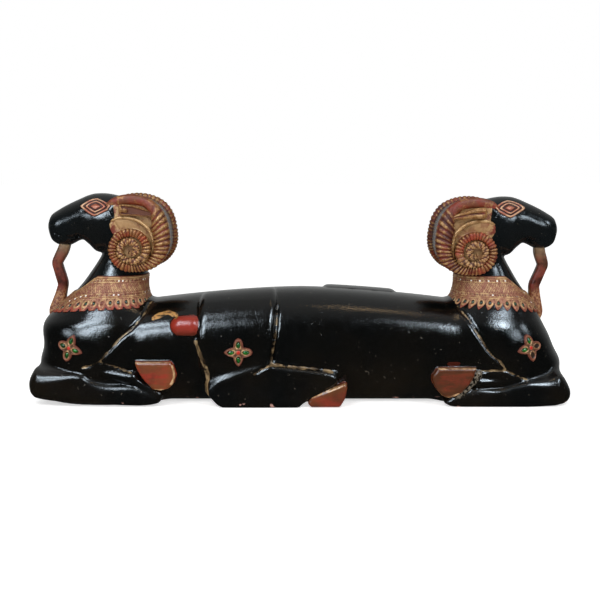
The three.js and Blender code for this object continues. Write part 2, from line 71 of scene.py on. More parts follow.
# The two rams differ a little, because they were carved by hand. head is the shift of the head and horns
# forwards and upwards. chest and breast_foot are the breast's shifts, each with its height and spread.
# strap shifts the chin strap's lower end, eye_lift shifts the eyes upwards, and lean turns the shoulder
# flowers. leaves is the number of the collar's leaves, and leaf_gap how little is cut away between their
# tips. The rest is seen from the ram's side, x and z: leg is the lower foreleg, knee how softly it runs
# into the breast, folds and pastern are rods on it, shoulder and branches are cut lines, hoof is the front
# hoof, and rim is its gilding as lines with half their width.
RAMS = {
    "right": {
        "facing": 1,
        "head": (8, -6),
        "chest": (-15, 144, 28),
        "breast_foot": (10, 68, 22),
        "strap": -20,
        "eye_lift": 4,
        "lean": 12,
        "leaves": 31,
        "leaf_gap": 0.0,
        "knee": 22,
        "leg": [
            (262, 3), (256, 9), (270, 20), (290, 28), (317, 34), (352, 33), (379, 40), (402, 46), (440, 52),
            (460, 60), (471, 51), (479, 38), (484, 25), (483, 13), (476, 4), (463, -2), (440, -6), (300, -6),
            (272, -3),
        ],
        "folds": [
            {"from": (404, 97, 47, 2.5), "to": (318, 98, 42, 10)},
            {"from": (402, 98, 50, 2.5), "to": (320, 97, 58, 7)},
        ],
        "pastern": {"from": (315, 101, 59, 7), "to": (281, 101, 21, 9)},
        "shoulder": [(284, 172), (300, 152), (314, 129), (330, 103), (339, 93), (353, 81), (364, 67)],
        "branches": [[(362, 67), (380, 57), (402, 48)], [(367, 65), (340, 65.5), (318, 64)]],
        "hoof": [
            (243, 71), (311, 71), (306, 56), (296, 40), (285, 28), (273, 20), (262, 18), (251, 22),
            (241, 33), (234, 46), (233, 57),
        ],
        "rim": [([(243, 70.5), (311, 70.5)], 0.8), ([(245, 27), (253, 20.5), (262, 19), (280, 26)], 1.6)],
    },
    "left": {
        "facing": -1,
        "head": (-2, 0),
        "chest": (10, 135, 50),
        "breast_foot": (7, 72, 18),
        "strap": 0,
        "eye_lift": 1,
        "lean": 18,
        "leaves": 34,
        "leaf_gap": 0.5,
        "knee": 20,
        "leg": [
            (252, 6), (247, 14), (253, 22), (270, 31), (297, 39), (342, 40), (370, 48), (388, 59), (425, 62),
            (460, 66), (471, 67), (479, 56), (484, 43), (484, 28), (479, 17), (467, 10), (431, 7), (377, 5),
            (304, 1), (277, 1),
        ],
        "folds": [{"from": (382, 98, 67, 4), "to": (298, 97, 51, 13)}],
        "pastern": {"from": (294, 101, 48, 7), "to": (251, 100, 21, 8)},
        "shoulder": [(268, 182), (272, 175), (282, 155), (300, 136), (315, 125), (335, 103), (354, 81)],
        "branches": [[(354, 81), (369, 75), (385, 70)], [(354, 81), (327, 72), (299, 62)]],
        "hoof": [
            (228, 82), (291, 82), (286, 67), (276, 51), (260, 34), (246, 31), (232, 35), (224, 42),
            (219, 58), (223, 75),
        ],
        "rim": [
            ([(291, 82.5), (228, 82.5)], 1.8),
            ([(224, 76), (221, 64), (221, 54), (227, 42)], 2.4),
            ([(238, 32), (256, 33)], 1.8),
        ],
    },
}

# The shared body is a log with a rounded top that falls towards both ends.
LOG = {
    "half_width": 101,
    "top": 202,
    "fall": 22,
    "fall_at": 275,
    "fall_power": 1.6,
    "axis": 96,
    "depth_below": 104,
    "squareness": 2.3,
    "end": 330,
    "end_rounding": 60,
}

# Level sections of the forequarters and neck: height, back edge, front edge and half width.
FOREQUARTER = [
    (0, 236, 466, 94),
    (40, 236, 472, 101),
    (70, 238, 469, 104),
    (105, 240, 464, 105),
    (140, 246, 460, 97),
    (165, 258, 442, 82),
    (182, 276, 425, 70),
    (200, 282, 407, 60),
    (230, 282, 385, 50),
    (268, 283, 362, 44),
    (310, 290, 350, 42),
]
SHOULDER_TOP = 176
SHOULDER_BLEND = 14
SECTION_SQUARENESS = 2.35

# The neck's wood ends at its top between the horns, and its mesh starts at the cut above the body.
NECK_TOP = 312
NECK_TOP_ROUNDING = 10
NECK_CUT = 186
NECK_CUT_FROM = 245
NECK_CUT_ROUNDING = 2
NECK_OVERLAP = 8

# Upright sections of the head: distance forwards, underside, top and half width.
HEAD = [
    (290, 262, 355, 40),
    (316, 262, 365, 44),
    (350, 264, 373, 46),
    (374, 268, 373.4, 43),
    (388, 281, 370, 38),
    (400, 289, 365, 35),
    (424, 279, 354, 31),
    (442, 280, 344, 27),
    (455, 288, 335, 20),
    (461, 300, 326, 12),
]
SKULL = {"squareness": 2.15, "nose": 462, "nose_rounding": 9, "back_rounding": 6, "neck_blend": 5}

# Marks cut into the head, seen from the side: the mouth is a line, its corner and the nostril are pits.
# Each has its depth and how far out from the middle plane it starts.
MOUTH = {"line": [(452, 305), (430, 297), (404, 296)], "half_width": 3, "depth": 1.6, "from": 6}
MOUTH_CORNER = {"at": (406, 297.5), "stretch": 1.0, "radius": 5, "depth": 3.5, "from": 16}
NOSTRIL = {"at": (452, 319), "stretch": 1.5, "radius": 4, "depth": 1.6, "from": 5}

# The head's sides are gilded behind this edge, given as height and distance forwards, where they lie
# further out than FACE_EDGE_OUT.
FACE_EDGE = [(225, 322), (296, 332), (312, 342), (321, 342), (332, 333), (372, 337)]
FACE_EDGE_OUT = 33

# The haunch is a raised part of the log, from the rump to a groove in front of the thigh.
HAUNCH = {
    "rump": -182,
    "rump_lean": 0.0014,
    "rump_lean_below": 130,
    "groove": -40,
    "groove_lean": 0.11,
    "groove_top": 176,
    "rise_at_back": 1,
    "rise_at_side": 12,
    "full_rise_at": 75,
    "rounding": 16,
    "ridge": 1,
}

# Legs and hooves are slabs with an outline in the side view, which reach from inside to outside across
# the ram, with their edges rounded. At the knee, between KNEE, the foreleg's edges grow rounder.
FORELEG = {"inside": 46, "outside": 110, "edge": 13, "knee_edge": 34}
KNEE = (405, 465)
FOOT = {"inside": 40, "outside": 116, "edge": 13}
FOOT_OUTLINE = [
    (-166, 30), (-156, 14), (-143, 1), (-130, -6), (-8, -6), (2, 3), (10, 9), (30, 21), (53, 34), (64, 41),
    (68, 52), (60, 62), (35, 67), (0, 71), (-51, 76), (-100, 66), (-150, 50),
]
TAIL = {"from": (-211, 86, 142, 18), "to": (-192, 85, 142, 19.5)}
HOOF_BEVEL = 5
FRONT_HOOF = {"inside": 70, "outside": 114, "edge": HOOF_BEVEL}
HIND_HOOF = {
    "outline": [(14, 8), (20, 0), (70, 0), (79, 15), (84, 38), (80, 44), (74, 42), (20, 19)],
    "rim": [([(20, 19), (50, 32)], 1.6), ([(50, 32), (78, 43)], 3.6)],
    "inside": 72,
    "outside": 115,
    "edge": HOOF_BEVEL,
}

# How softly the parts run into each other.
BREAST_BLEND = 4
FOLD_BLEND = 3
FOOT_BLEND = 12
HOOF_BLEND = 2
FOOT_ROUNDING = 5

# A field is worked out near a slab or rod alone, this far beyond it, and is FAR elsewhere.
FAR = 1e3
SLAB_REACH = 32
SLAB_REACH_ACROSS = 12
ROD_REACH = 24

# Lines cut into the skin outside SIDE_FROM, as seen from the ram's side. A cut has a width and a depth.
BOTH_SIDES = (-1, 1)
OUTER_SIDE = (-1,)
THIGH_LINE = [(-40, 176), (-41, 150), (-44, 120), (-47, 104), (-51, 77)]
THIGH_BRANCHES = [[(-51, 77), (-67, 70), (-80, 61)], [(-51, 77), (0, 71.5), (35, 68), (58, 63)]]
MAIN_CUT = (8, 4.0)
BRANCH_CUT = (6, 2.5)
SIDE_FROM = 30
SIDE_TO = 130
CUT_RUN_IN = 12
CUT_LEAST = 0.35

# Painted marks: the gilt line of the rump, the hooves' gilding outside RIM_FROM, a gold smudge on the left
# ram's shoulder and a red smear above the right ram's hoof. UNMARKED is the distance where none is near.
RUMP_LINE = [(-184, 116), (-177, 99), (-165, 70), (-162, 52), (-166, 38), (-164, 18)]
RUMP_LINE_WIDER = 2.0
RIM_FROM = 106
SMUDGE = [(-260, 155), (-246, 162), (-235, 165), (-220, 160)]
SMEAR = [(264, 76), (281, 77)]
UNMARKED = 50.0

# A horn is a ribbed band wound round a boss. Each row is the turn in degrees, the outer and inner radius
# of the band round the boss, and how far out from the middle plane the band's middle lies.
BOSS = (304, 276)
HORN = [
    (60, 92, 80, 36),
    (70, 96.5, 79, 38),
    (88, 97.5, 78, 41),
    (109, 97, 77, 44),
    (122, 95, 66, 46),
    (134, 90, 51, 48),
    (155, 79, 42, 50),
    (180, 71, 38.5, 52),
    (206, 61, 34, 55),
    (240, 48, 26, 59),
    (270, 41.5, 23.5, 62),
    (360, 39, 23, 65),
    (450, 38.5, 22.5, 66),
    (540, 37.5, 21, 67),
    (585, 32, 17, 68),
    (630, 26, 13, 69),
    (720, 24, 10.5, 70),
    (900, 19, 5, 72),
    (1010, 8, -3, 74),
]
HORN_THICKNESS = 0.85
BOSS_CORE = {"radius": 35, "half_width": 62, "rounding": 5}

# The wood between the horns stays inside their outer outline, from one turn round the boss to another.
BETWEEN = {"from": 60, "to": 275, "inset": 6, "elsewhere": 40, "half_width": 44, "rounding": 10, "blend": 8}

# The horn's ribs start at these turns, on the near and the far horns, and give way to lumps at RIB_TO. They
# stand one pitch apart, in degrees: first outside the curl, then in the ring round it, then in its core.
# Between the turns OVER_CURL, the near horns' outer edge is drawn in, and that of the far ones let out.
RIB_FROM = 112
FAR_RIB_FROM = 66
RIB_RING_FROM = 262
RIB_TO = 540
RIB_PITCH = 7.7
FAR_RIB_PITCH = 5.0
RING_PITCH = 10.8
LUMP_PITCH = 16
RIBS_GROW_OVER = 14
RING_GROWS_OVER = 20
CORE_GROWS_OVER = 40
OVER_CURL = (96, 290)
NEAR_EDGE = -2.0
FAR_EDGE = 0.5
RIB_DEPTH = [(60, 3.4), (250, 3.4), (540, 3.0), (600, 3.6), (1010, 3.0)]
RIBS_AT_MOST = 110
RIB_JITTER = 0.14
RIB_SIZES = (0.75, 1.1)
HORN_STEP = 0.83
CORE_STEP = 2.0
HORN_SQUARENESS = 2.4

# The lip in front of the horn's ribs: turn, radius and how far out, then half its width and thickness.
LIP = [
    (52, 61, 44),
    (66, 59.5, 45),
    (86, 55.5, 46),
    (110, 50.5, 48),
    (134, 47, 50),
    (160, 42.5, 52),
    (196, 38, 55),
]
LIP_HALF = (3.4, 3.2)

# The ear lies along the side of the head: x, z, half height and how far out.
EAR = [
    (324, 346, 8, 6),
    (321, 346, 10.5, 8),
    (300, 345, 9.5, 8),
    (280, 341, 7, 6.5),
    (256, 336, 1.5, 2.5),
]
EAR_OUT = 50
EAR_SQUARENESS = 3.0
EAR_SINK = {"left": 0.72, "right": 0.62}

# The strap from chin to breast: middle line as forwards and up, with its width and thickness. Its foot
# swells below a height.
STRAP = [(430, 288), (436, 270), (448, 247), (437, 208), (444, 180), (450, 158), (446, 140)]
STRAP_WIDTH = 19
STRAP_ACROSS = 24
STRAP_SQUARENESS = 3.4
STRAP_FOOT = {"below": 205, "over": 55, "swell": 0.40}

# The collar: heights of its edges in front and behind, and how far its leaves hang below. Its length is
# measured at COLLAR_MEASURED_AT.
COLLAR = {
    "top_front": 196,
    "top_behind": 227,
    "bottom_front": 162,
    "bottom_behind": 174,
    "leaf_drop": 5,
}
COLLAR_MEASURED_AT = 186.0
COLLAR_HIGH = 52.0
COLLAR_RISE = 1.7
CUT_AWAY = -2.0

# A leaf's width, its reach below and above its stone, and the half sizes of the stone's setting.
LEAF_WIDE = 14.0
LEAF_BELOW = 11
LEAF_ABOVE = 8.5
SETTING = (3.1, 4.0)

# Up the collar, in shares of its height: the stones, two rows of mirror dots, the net, and raised ridges
# given by their middle, half width and height in mm. There are DOTS_EACH dots and net meshes to a leaf.
# Stones and dots have half sizes, a rise over their seat, and the share of them that is lost, and for dots
# also the share that is painted near white as a painted glint.
STONE_AT = 0.2
DOTS_AT = (0.43, 0.86)
DOTS_EACH = 1.5
RIDGES = [
    (0.335, 0.018, 0.9),
    (0.385, 0.016, 1.1),
    (0.475, 0.016, 1.0),
    (0.815, 0.014, 0.9),
    (0.905, 0.016, 1.1),
    (0.96, 0.026, 1.6),
]
NET = {"from": 0.49, "middle": 0.645, "to": 0.8, "soft": 0.02, "line": 1.1, "bud": 0.8}
STONE = {"half_along": 2.7, "half_up": 3.5, "rise": 1.5, "seat": 1.2, "lost": 0.12}
DOT = {"half_along": 1.9, "half_up": 1.9, "rise": 0.9, "seat": 1.5, "lost": 0.2, "painted_glint": 0.28}

# The eye's two folds have a height, a place as a share of the way outwards, and a width.
EYE_AT = (368, 350)
EYE_SIZE = (27.5, 18.0)
EYE_BASE = 0.4
EYE_FOLDS = [(2.3, 0.88, 0.095), (2.0, 0.56, 0.085)]
EYE_BALL = {"rise": 1.9, "share": 0.36, "power": 0.7}

# A flower reaches in to its waist between the petals. Heights are above the skin, and the chips' foot is
# sunk in the petals.
FLOWER = {"reach": 25.5, "waist": 12.5, "height": 2.4, "rim": 1.2, "seat_rim": 1.1, "seat": 0.8}
HEART = {"rise": 1.3, "radius": 4.0}
SHOULDER_FLOWER = (407, 105)
HAUNCH_FLOWER = (-108, 100)
LOST_CHIPS = (0, 3)
CHIP = {"at": 13, "length": 10.5, "width": 6.5, "foot": 1.6, "low": 2.4, "rise": 2.0}

# The body's grid reaches this far along and across, the heads' grids from one corner to the other.
BODY_REACH = (482, 121)
BODY_STEP = 3.15
HEAD_LOW = (205, -66, NECK_CUT - 10)
HEAD_HIGH = (474, 66, 380)
HEAD_STEP = 1.9

# How fine the other meshes are: rings, and points round each ring.
HORN_AROUND = 26
LIP_RINGS, LIP_AROUND = 70, 18
EAR_RINGS, EAR_AROUND = 70, 48
STRAP_STEP, STRAP_AROUND = 2.0, 28
COLLAR_ROWS, LEAF_COLUMNS = 68, 14
EYE_RINGS, EYE_AROUND = 42, 120
FLOWER_RINGS, FLOWER_AROUND = 30, 128
CHIP_AROUND = 32

FIRST_SEED = 11

CAMERA_DISTANCE = 1.9
CAMERA_HEIGHT = 0.177
CAMERA_RISE = math.radians(8)
SENSOR = 36
IMAGE_SIZE = 600
FOCAL_PIXELS = 1027
FLOOR = 14
FLOOR_GLOW = 0.60

# The room seen in the gloss: dark in front, below and at the sides, light above and behind.
ROOM_LEAN = 0.85
ROOM_SIDES = 0.35
ROOM_FROM = -0.25
ROOM_TO = 1.0
ROOM_DIM = 0.02
ROOM_BRIGHT = 0.44
ROOM_TONE = (0.97, 0.99, 0.98)
WHITE = (1.0, 1.0, 1.0)
FILL = 0.50

# The windows are seen in the gloss alone, and softer lights give the paint its light. Each window has a
# name, place, aim, width, height, watts, roll and spread, each lamp a name, place across, width and watts.
DAYLIGHT = (0.76, 0.89, 1.0)
WINDOWS = [
    ("window_shoulder", (-1.28, -1.60, 2.05), (-0.35, -0.1, 0.0), 0.40, 1.5, 44, -29, 180),
    ("window_flank", (-0.80, -1.60, 1.12), (-0.25, -0.1, 0.05), 0.34, 0.95, 20, -28, 180),
    ("window_right", (1.06, -1.60, 1.74), (0.25, -0.1, 0.05), 0.38, 0.85, 36, 0, 180),
    ("window_breast", (1.45, -1.40, 2.10), (0.42, -0.08, 0.08), 0.5, 1.0, 12, 0, 180),
    ("neck_left", (-1.21, -1.55, 0.89), (-0.33, -0.05, 0.27), 0.35, 0.35, 0.11, 0, 24),
    ("neck_right", (1.42, -1.41, 0.89), (0.335, -0.05, 0.27), 0.6, 0.35, 0.17, 0, 24),
    ("side_left", (-2.2, -1.5, 0.85), (-0.4, 0, 0.3), 0.6, 0.45, 8, 0, 180),
    ("side_right", (2.3, -0.9, 1.35), (0.4, 0, 0.3), 0.34, 0.34, 5, 0, 180),
]
WARM_LAMPS = [("warm_lamp", 0.31, 0.05, 0.4), ("warm_lamp_beside", 0.46, 0.12, 0.55)]
WARM_TONE = (1.0, 0.68, 0.36)
SOFT_TONE = (1.0, 0.98, 0.95)


# Shape functions

def unit(value):
    """A value kept between 0 and 1."""
    return np.clip(value, 0, 1)


def bell(place, middle, width):
    return np.exp(-(((place - middle) / width) ** 2))


def full_turn(count):
    return np.linspace(0, 2 * np.pi, count, endpoint=False)


def rounded_square(turn, squareness):
    """The cosine and sine of a turn, pushed outwards from a circle towards a square."""
    power = 2 / squareness
    c, s = np.cos(turn), np.sin(turn)
    return np.sign(c) * np.abs(c) ** power, np.sign(s) * np.abs(s) ** power


def one_long(direction):
    return direction / np.linalg.norm(direction)


def own_frame(ram, x, y):
    """A place in the model's frame as seen from a ram, or the other way round."""
    return ram["facing"] * x, ram["facing"] * y


def place_name(ram, side):
    return "near" if side * ram["facing"] < 0 else "far"


def smooth_min(a, b, radius):
    near = np.maximum(radius - np.abs(a - b), 0) / radius
    return np.minimum(a, b) - near * near * radius / 4


def smooth_max(a, b, radius):
    return -smooth_min(-a, -b, radius)


def through(rows):
    """A smooth curve through rows of (place, value, value, ...): gives the values at an array of places."""
    table = np.array(rows, float)
    places = table[:, 0]
    values = table[:, 1:]
    before = np.maximum(np.arange(len(rows)) - 1, 0)
    after = np.minimum(np.arange(len(rows)) + 1, len(rows) - 1)
    slopes = (values[after] - values[before]) / (places[after] - places[before])[:, None]

    def at(place):
        t = np.clip(np.asarray(place, float), places[0], places[-1])
        i = np.clip(np.searchsorted(places, t) - 1, 0, len(rows) - 2)
        gap = places[i + 1] - places[i]
        u = (t - places[i]) / gap
        bend = u * u * (3 - 2 * u)
        return [
            a[i] + (a[i + 1] - a[i]) * bend
            + u * (1 - u) * (1 - u) * gap * s[i] + u * u * (u - 1) * gap * s[i + 1]
            for a, s in zip(values.T, slopes.T)
        ]

    return at


def outside_section(a, b, half_a, half_b, squareness):
    """How far a point at (a, b) from the middle of a rounded section lies outside it."""
    share = (np.abs(a / half_a) ** squareness + np.abs(b / half_b) ** squareness) ** (1 / squareness)
    share = np.maximum(share, 1e-3)
    return np.sqrt(a * a + b * b) * (1 - 1 / share)


def log_field(x, y, z):
    top = LOG["top"] - LOG["fall"] * np.abs(x / LOG["fall_at"]) ** LOG["fall_power"]
    half = np.where(z > LOG["axis"], top - LOG["axis"], LOG["depth_below"])
    round_ = outside_section(y, z - LOG["axis"], LOG["half_width"], half, LOG["squareness"])
    return smooth_max(round_, np.abs(x) - LOG["end"], LOG["end_rounding"])


fore_at = through(FOREQUARTER)


def fore_section(ram, z):
    """Middle, half length and half width of the forequarters and neck at a height."""
    back, front, half = fore_at(z)
    for shift, height, spread in (ram["chest"], ram["breast_foot"]):
        front = front + shift * bell(z, height, spread)
    lift = unit((z - SHOULDER_TOP) / (BOSS[1] - SHOULDER_TOP))
    return (back + front) / 2 + ram["head"][0] * lift, (front - back) / 2, half


def fore_field(ram, x, y, z):
    middle, half_length, half = fore_section(ram, z)
    return outside_section(x - middle, y, half_length, half, SECTION_SQUARENESS)


def haunch_field(skin, x, y, z):
    h = HAUNCH
    side = unit(-y / h["full_rise_at"])
    rise = h["rise_at_back"] + (h["rise_at_side"] - h["rise_at_back"]) * side
    rump = h["rump"] + h["rump_lean"] * np.maximum(h["rump_lean_below"] - z, 0) ** 2
    groove = h["groove"] - h["groove_lean"] * np.maximum(h["groove_top"] - z, 0)
    behind = smooth_max(skin - rise, rump - x, h["rounding"])
    in_front = smooth_max(behind, x - groove, h["rounding"])
    return smooth_max(in_front, y, h["ridge"])


def rod_field(rod, side, x, y, z):
    """A tapered rod with round ends, between two ends given as x, y, z and radius."""
    a = np.array(rod["from"], float) * (1, side, 1, 1)
    b = np.array(rod["to"], float) * (1, side, 1, 1)
    axis = b[:3] - a[:3]
    place = (x - a[0]) * axis[0] + (y - a[1]) * axis[1] + (z - a[2]) * axis[2]
    t = unit(place / (axis @ axis))
    away = np.sqrt(
        (x - a[0] - t * axis[0]) ** 2 + (y - a[1] - t * axis[1]) ** 2 + (z - a[2] - t * axis[2]) ** 2
    )
    return away - a[3] - (b[3] - a[3]) * t


def smooth_outline(points, steps=4):
    """A closed outline with a smooth curve through its points."""
    p = np.array(points, float)
    before, after, beyond = np.roll(p, 1, axis=0), np.roll(p, -1, axis=0), np.roll(p, -2, axis=0)
    found = []
    for k in range(steps):
        t = k / steps
        found.append(
            p * (1 - 2.5 * t * t + 1.5 * t ** 3) + after * (0.5 * t + 2 * t * t - 1.5 * t ** 3)
            + before * (-0.5 * t + t * t - 0.5 * t ** 3) + beyond * (-0.5 * t * t + 0.5 * t ** 3)
        )
    return np.stack(found, axis=1).reshape(-1, 2)


FOOT_OUTLINE = smooth_outline(FOOT_OUTLINE)
for ram in RAMS.values():
    ram["leg"] = smooth_outline(ram["leg"])


def polygon_distance(outline, x, z):
    """Signed distance to an outline in the side view, negative inside."""
    points = np.array(outline, float)
    best = np.full(np.broadcast(x, z).shape, np.inf)
    inside = np.zeros(best.shape, bool)
    for (ax, az), (bx, bz) in zip(points, np.roll(points, -1, axis=0)):
        ex, ez = bx - ax, bz - az
        t = unit(((x - ax) * ex + (z - az) * ez) / (ex * ex + ez * ez))
        best = np.minimum(best, np.hypot(x - ax - t * ex, z - az - t * ez))
        crosses = (az > z) != (bz > z)
        inside ^= crosses & (x < ex * (z - az) / (ez if ez else 1) + ax)
    return np.where(inside, -best, best)


def line_distance(line, x, z):
    """Distance in the side view to a line of points, and how far along the line the nearest point is."""
    points = np.array(line, float)
    lengths = np.hypot(*np.diff(points, axis=0).T)
    best = np.full(np.broadcast(x, z).shape, np.inf)
    place = np.zeros(best.shape)
    start = 0.0
    for (ax, az), (bx, bz), length in zip(points, points[1:], lengths):
        t = unit(((x - ax) * (bx - ax) + (z - az) * (bz - az)) / length ** 2)
        away = np.hypot(x - ax - t * (bx - ax), z - az - t * (bz - az))
        closer = away < best
        best = np.where(closer, away, best)
        place = np.where(closer, start + t * length, place)
        start += length
    return best, place / lengths.sum()


def slab_field(outline, slab, side, x, y, z):
    middle = (slab["inside"] + slab["outside"]) / 2
    half = (slab["outside"] - slab["inside"]) / 2
    edge = np.interp(x, KNEE, (slab["edge"], slab.get("knee_edge", slab["edge"])))
    return smooth_max(polygon_distance(outline, x, z), np.abs(y * side - middle) - half, edge)


def local(field, low, high, x, y, z):
    """The field where a point lies within a box, and FAR elsewhere."""
    x, y, z = np.broadcast_arrays(x, y, z)
    near = (x > low[0]) & (x < high[0]) & (y > low[1]) & (y < high[1]) & (z > low[2]) & (z < high[2])
    value = np.full(x.shape, FAR)
    if near.any():
        value[near] = field(x[near], y[near], z[near])
    return value


def trunk_field(x, y, z):
    """Log, forequarters and haunches of both rams."""
    skin = log_field(x, y, z)
    field = skin
    for ram in RAMS.values():
        u, v = own_frame(ram, x, y)
        fore = np.where(u > 0, fore_field(ram, u, v, z), FAR)
        field = smooth_min(field, fore, SHOULDER_BLEND)
        field = np.minimum(field, haunch_field(skin, u, v, z))
    return field


def hooves(ram):
    """Every hoof of a ram: its outline, how far it reaches across, its side and its gilding."""
    front = ram["hoof"]
    return [
        (front, FRONT_HOOF, -1, ram["rim"]),
        (front, FRONT_HOOF, 1, ram["rim"]),
        (HIND_HOOF["outline"], HIND_HOOF, -1, HIND_HOOF["rim"]),
    ]


def slab_near(outline, slab, side, x, y, z):
    corners = np.array(outline, float)
    inside, outside = slab["inside"] - SLAB_REACH_ACROSS, slab["outside"] + SLAB_REACH_ACROSS
    across = np.sort((side * inside, side * outside))
    low = (corners[:, 0].min() - SLAB_REACH, across[0], corners[:, 1].min() - SLAB_REACH)
    high = (corners[:, 0].max() + SLAB_REACH, across[1], corners[:, 1].max() + SLAB_REACH)
    return local(lambda a, b, c: slab_field(outline, slab, side, a, b, c), low, high, x, y, z)


def rod_near(rod, side, x, y, z):
    ends = np.array([rod["from"], rod["to"]], float)
    ends[:, 1] *= side
    room = ends[:, 3].max() + ROD_REACH
    low, high = ends[:, :3].min(axis=0) - room, ends[:, :3].max(axis=0) + room
    return local(lambda a, b, c: rod_field(rod, side, a, b, c), low, high, x, y, z)


def with_limbs(ram, field, x, y, z):
    """The field with the legs of a ram added to it."""
    soft = np.interp(x, KNEE, (BREAST_BLEND, ram["knee"]))
    for side in BOTH_SIDES:
        field = smooth_min(field, slab_near(ram["leg"], FORELEG, side, x, y, z), soft)
        for rod in ram["folds"] + [ram["pastern"]]:
            field = smooth_min(field, rod_near(rod, side, x, y, z), FOLD_BLEND)
    return smooth_min(field, slab_near(FOOT_OUTLINE, FOOT, -1, x, y, z), FOOT_BLEND)


def cuts(ram):
    """Lines cut into the skin: each with its sides, width and depth."""
    found = []
    for main, branches, sides in (
        (ram["shoulder"], ram["branches"], BOTH_SIDES),
        (THIGH_LINE, THIGH_BRANCHES, OUTER_SIDE),
    ):
        found.append((main, sides, *MAIN_CUT))
        found += [(branch, sides, *BRANCH_CUT) for branch in branches]
    return found


def carved(ram, field, u, v, z):
    """The field with the ram's lines cut into it."""
    for line, sides, width, depth in cuts(ram):
        points = np.array(line, float)
        low = points.min(axis=0) - width
        high = points.max(axis=0) + width
        for side in sides:
            span = sorted((side * SIDE_FROM, side * SIDE_TO))

            def notch(a, b, c):
                away, place = line_distance(line, a, c)
                fade = unit(24 * place) * unit((1 - place) * 8)
                deep = -depth * unit((b * side - SIDE_FROM) / CUT_RUN_IN)
                wall = np.maximum(1 - away / (width / 2), 0)
                return deep * (CUT_LEAST + (1 - CUT_LEAST) * fade) * wall

            cut = local(notch, (low[0], span[0], low[1]), (high[0], span[1], high[1]), u, v, z)
            field = field - np.where(cut < FAR, cut, 0)
    return field


def body_field(x, y, z):
    field = trunk_field(x, y, z)
    for ram in RAMS.values():
        u, v = own_frame(ram, x, y)
        field = with_limbs(ram, field, u, v, z)
        for outline, hoof, side, rim in hooves(ram):
            field = smooth_min(field, slab_near(outline, hoof, side, u, v, z), HOOF_BLEND)
        field = smooth_min(field, rod_near(TAIL, -1, u, v, z), HOOF_BLEND)
        field = carved(ram, field, u, v, z)
    field = smooth_max(field, -z, FOOT_ROUNDING)
    above_cut = np.where(np.abs(x) > NECK_CUT_FROM, z - NECK_CUT, -FAR)
    return smooth_max(field, above_cut, NECK_CUT_ROUNDING)


horn_outer = through([(turn, outer) for turn, outer, inner, out in HORN])
head_at = through([(x - HEAD[0][0], under, top, half) for x, under, top, half in HEAD])


def from_boss(x, z):
    """The turn in degrees and the radius of a place in the side view, seen from the horn's boss."""
    return np.degrees(np.arctan2(z - BOSS[1], x - BOSS[0])) % 360, np.hypot(x - BOSS[0], z - BOSS[1])


def head_field(ram):
    """Head, neck and the wood between the horns, in the ram's own frame."""
    forwards, upwards = ram["head"]

    def field(x, y, z):
        a, c = x - forwards, z - upwards
        under, top, half = head_at(a - HEAD[0][0])
        skull = outside_section(c - (under + top) / 2, y, (top - under) / 2, half, SKULL["squareness"])
        skull = smooth_max(skull, a - SKULL["nose"], SKULL["nose_rounding"])
        skull = smooth_max(skull, HEAD[0][0] - a, SKULL["back_rounding"])
        neck = smooth_max(fore_field(ram, x, y, z), z - NECK_TOP - upwards, NECK_TOP_ROUNDING)
        turn, radius = from_boss(a, c)
        outline = horn_outer(np.clip(turn, HORN[0][0], 270))[0] - BETWEEN["inset"]
        behind_horns = (turn > BETWEEN["from"]) & (turn < BETWEEN["to"])
        between = radius - np.where(behind_horns, outline, BETWEEN["elsewhere"])
        between = smooth_max(between, np.abs(y) - BETWEEN["half_width"], BETWEEN["rounding"])
        core = BOSS_CORE
        boss = smooth_max(radius - core["radius"], np.abs(y) - core["half_width"], core["rounding"])
        field = smooth_min(skull, neck, SKULL["neck_blend"])
        field = smooth_min(field, between, BETWEEN["blend"])
        field = np.minimum(field, boss)
        away, place = line_distance(MOUTH["line"], a, c)
        groove = MOUTH["depth"] * np.maximum(1 - away / MOUTH["half_width"], 0)
        field = field + groove * (place > 0) * (np.abs(y) > MOUTH["from"])
        for pit in (MOUTH_CORNER, NOSTRIL):
            away = np.hypot((a - pit["at"][0]) / pit["stretch"], c - pit["at"][1])
            hollow = pit["depth"] * np.maximum(1 - (away / pit["radius"]) ** 2, 0)
            field = field + hollow * (np.abs(y) > pit["from"])
        return smooth_max(field, NECK_CUT - NECK_OVERLAP - z, NECK_CUT_ROUNDING)

    return field


# Dual meshing of a field on a grid

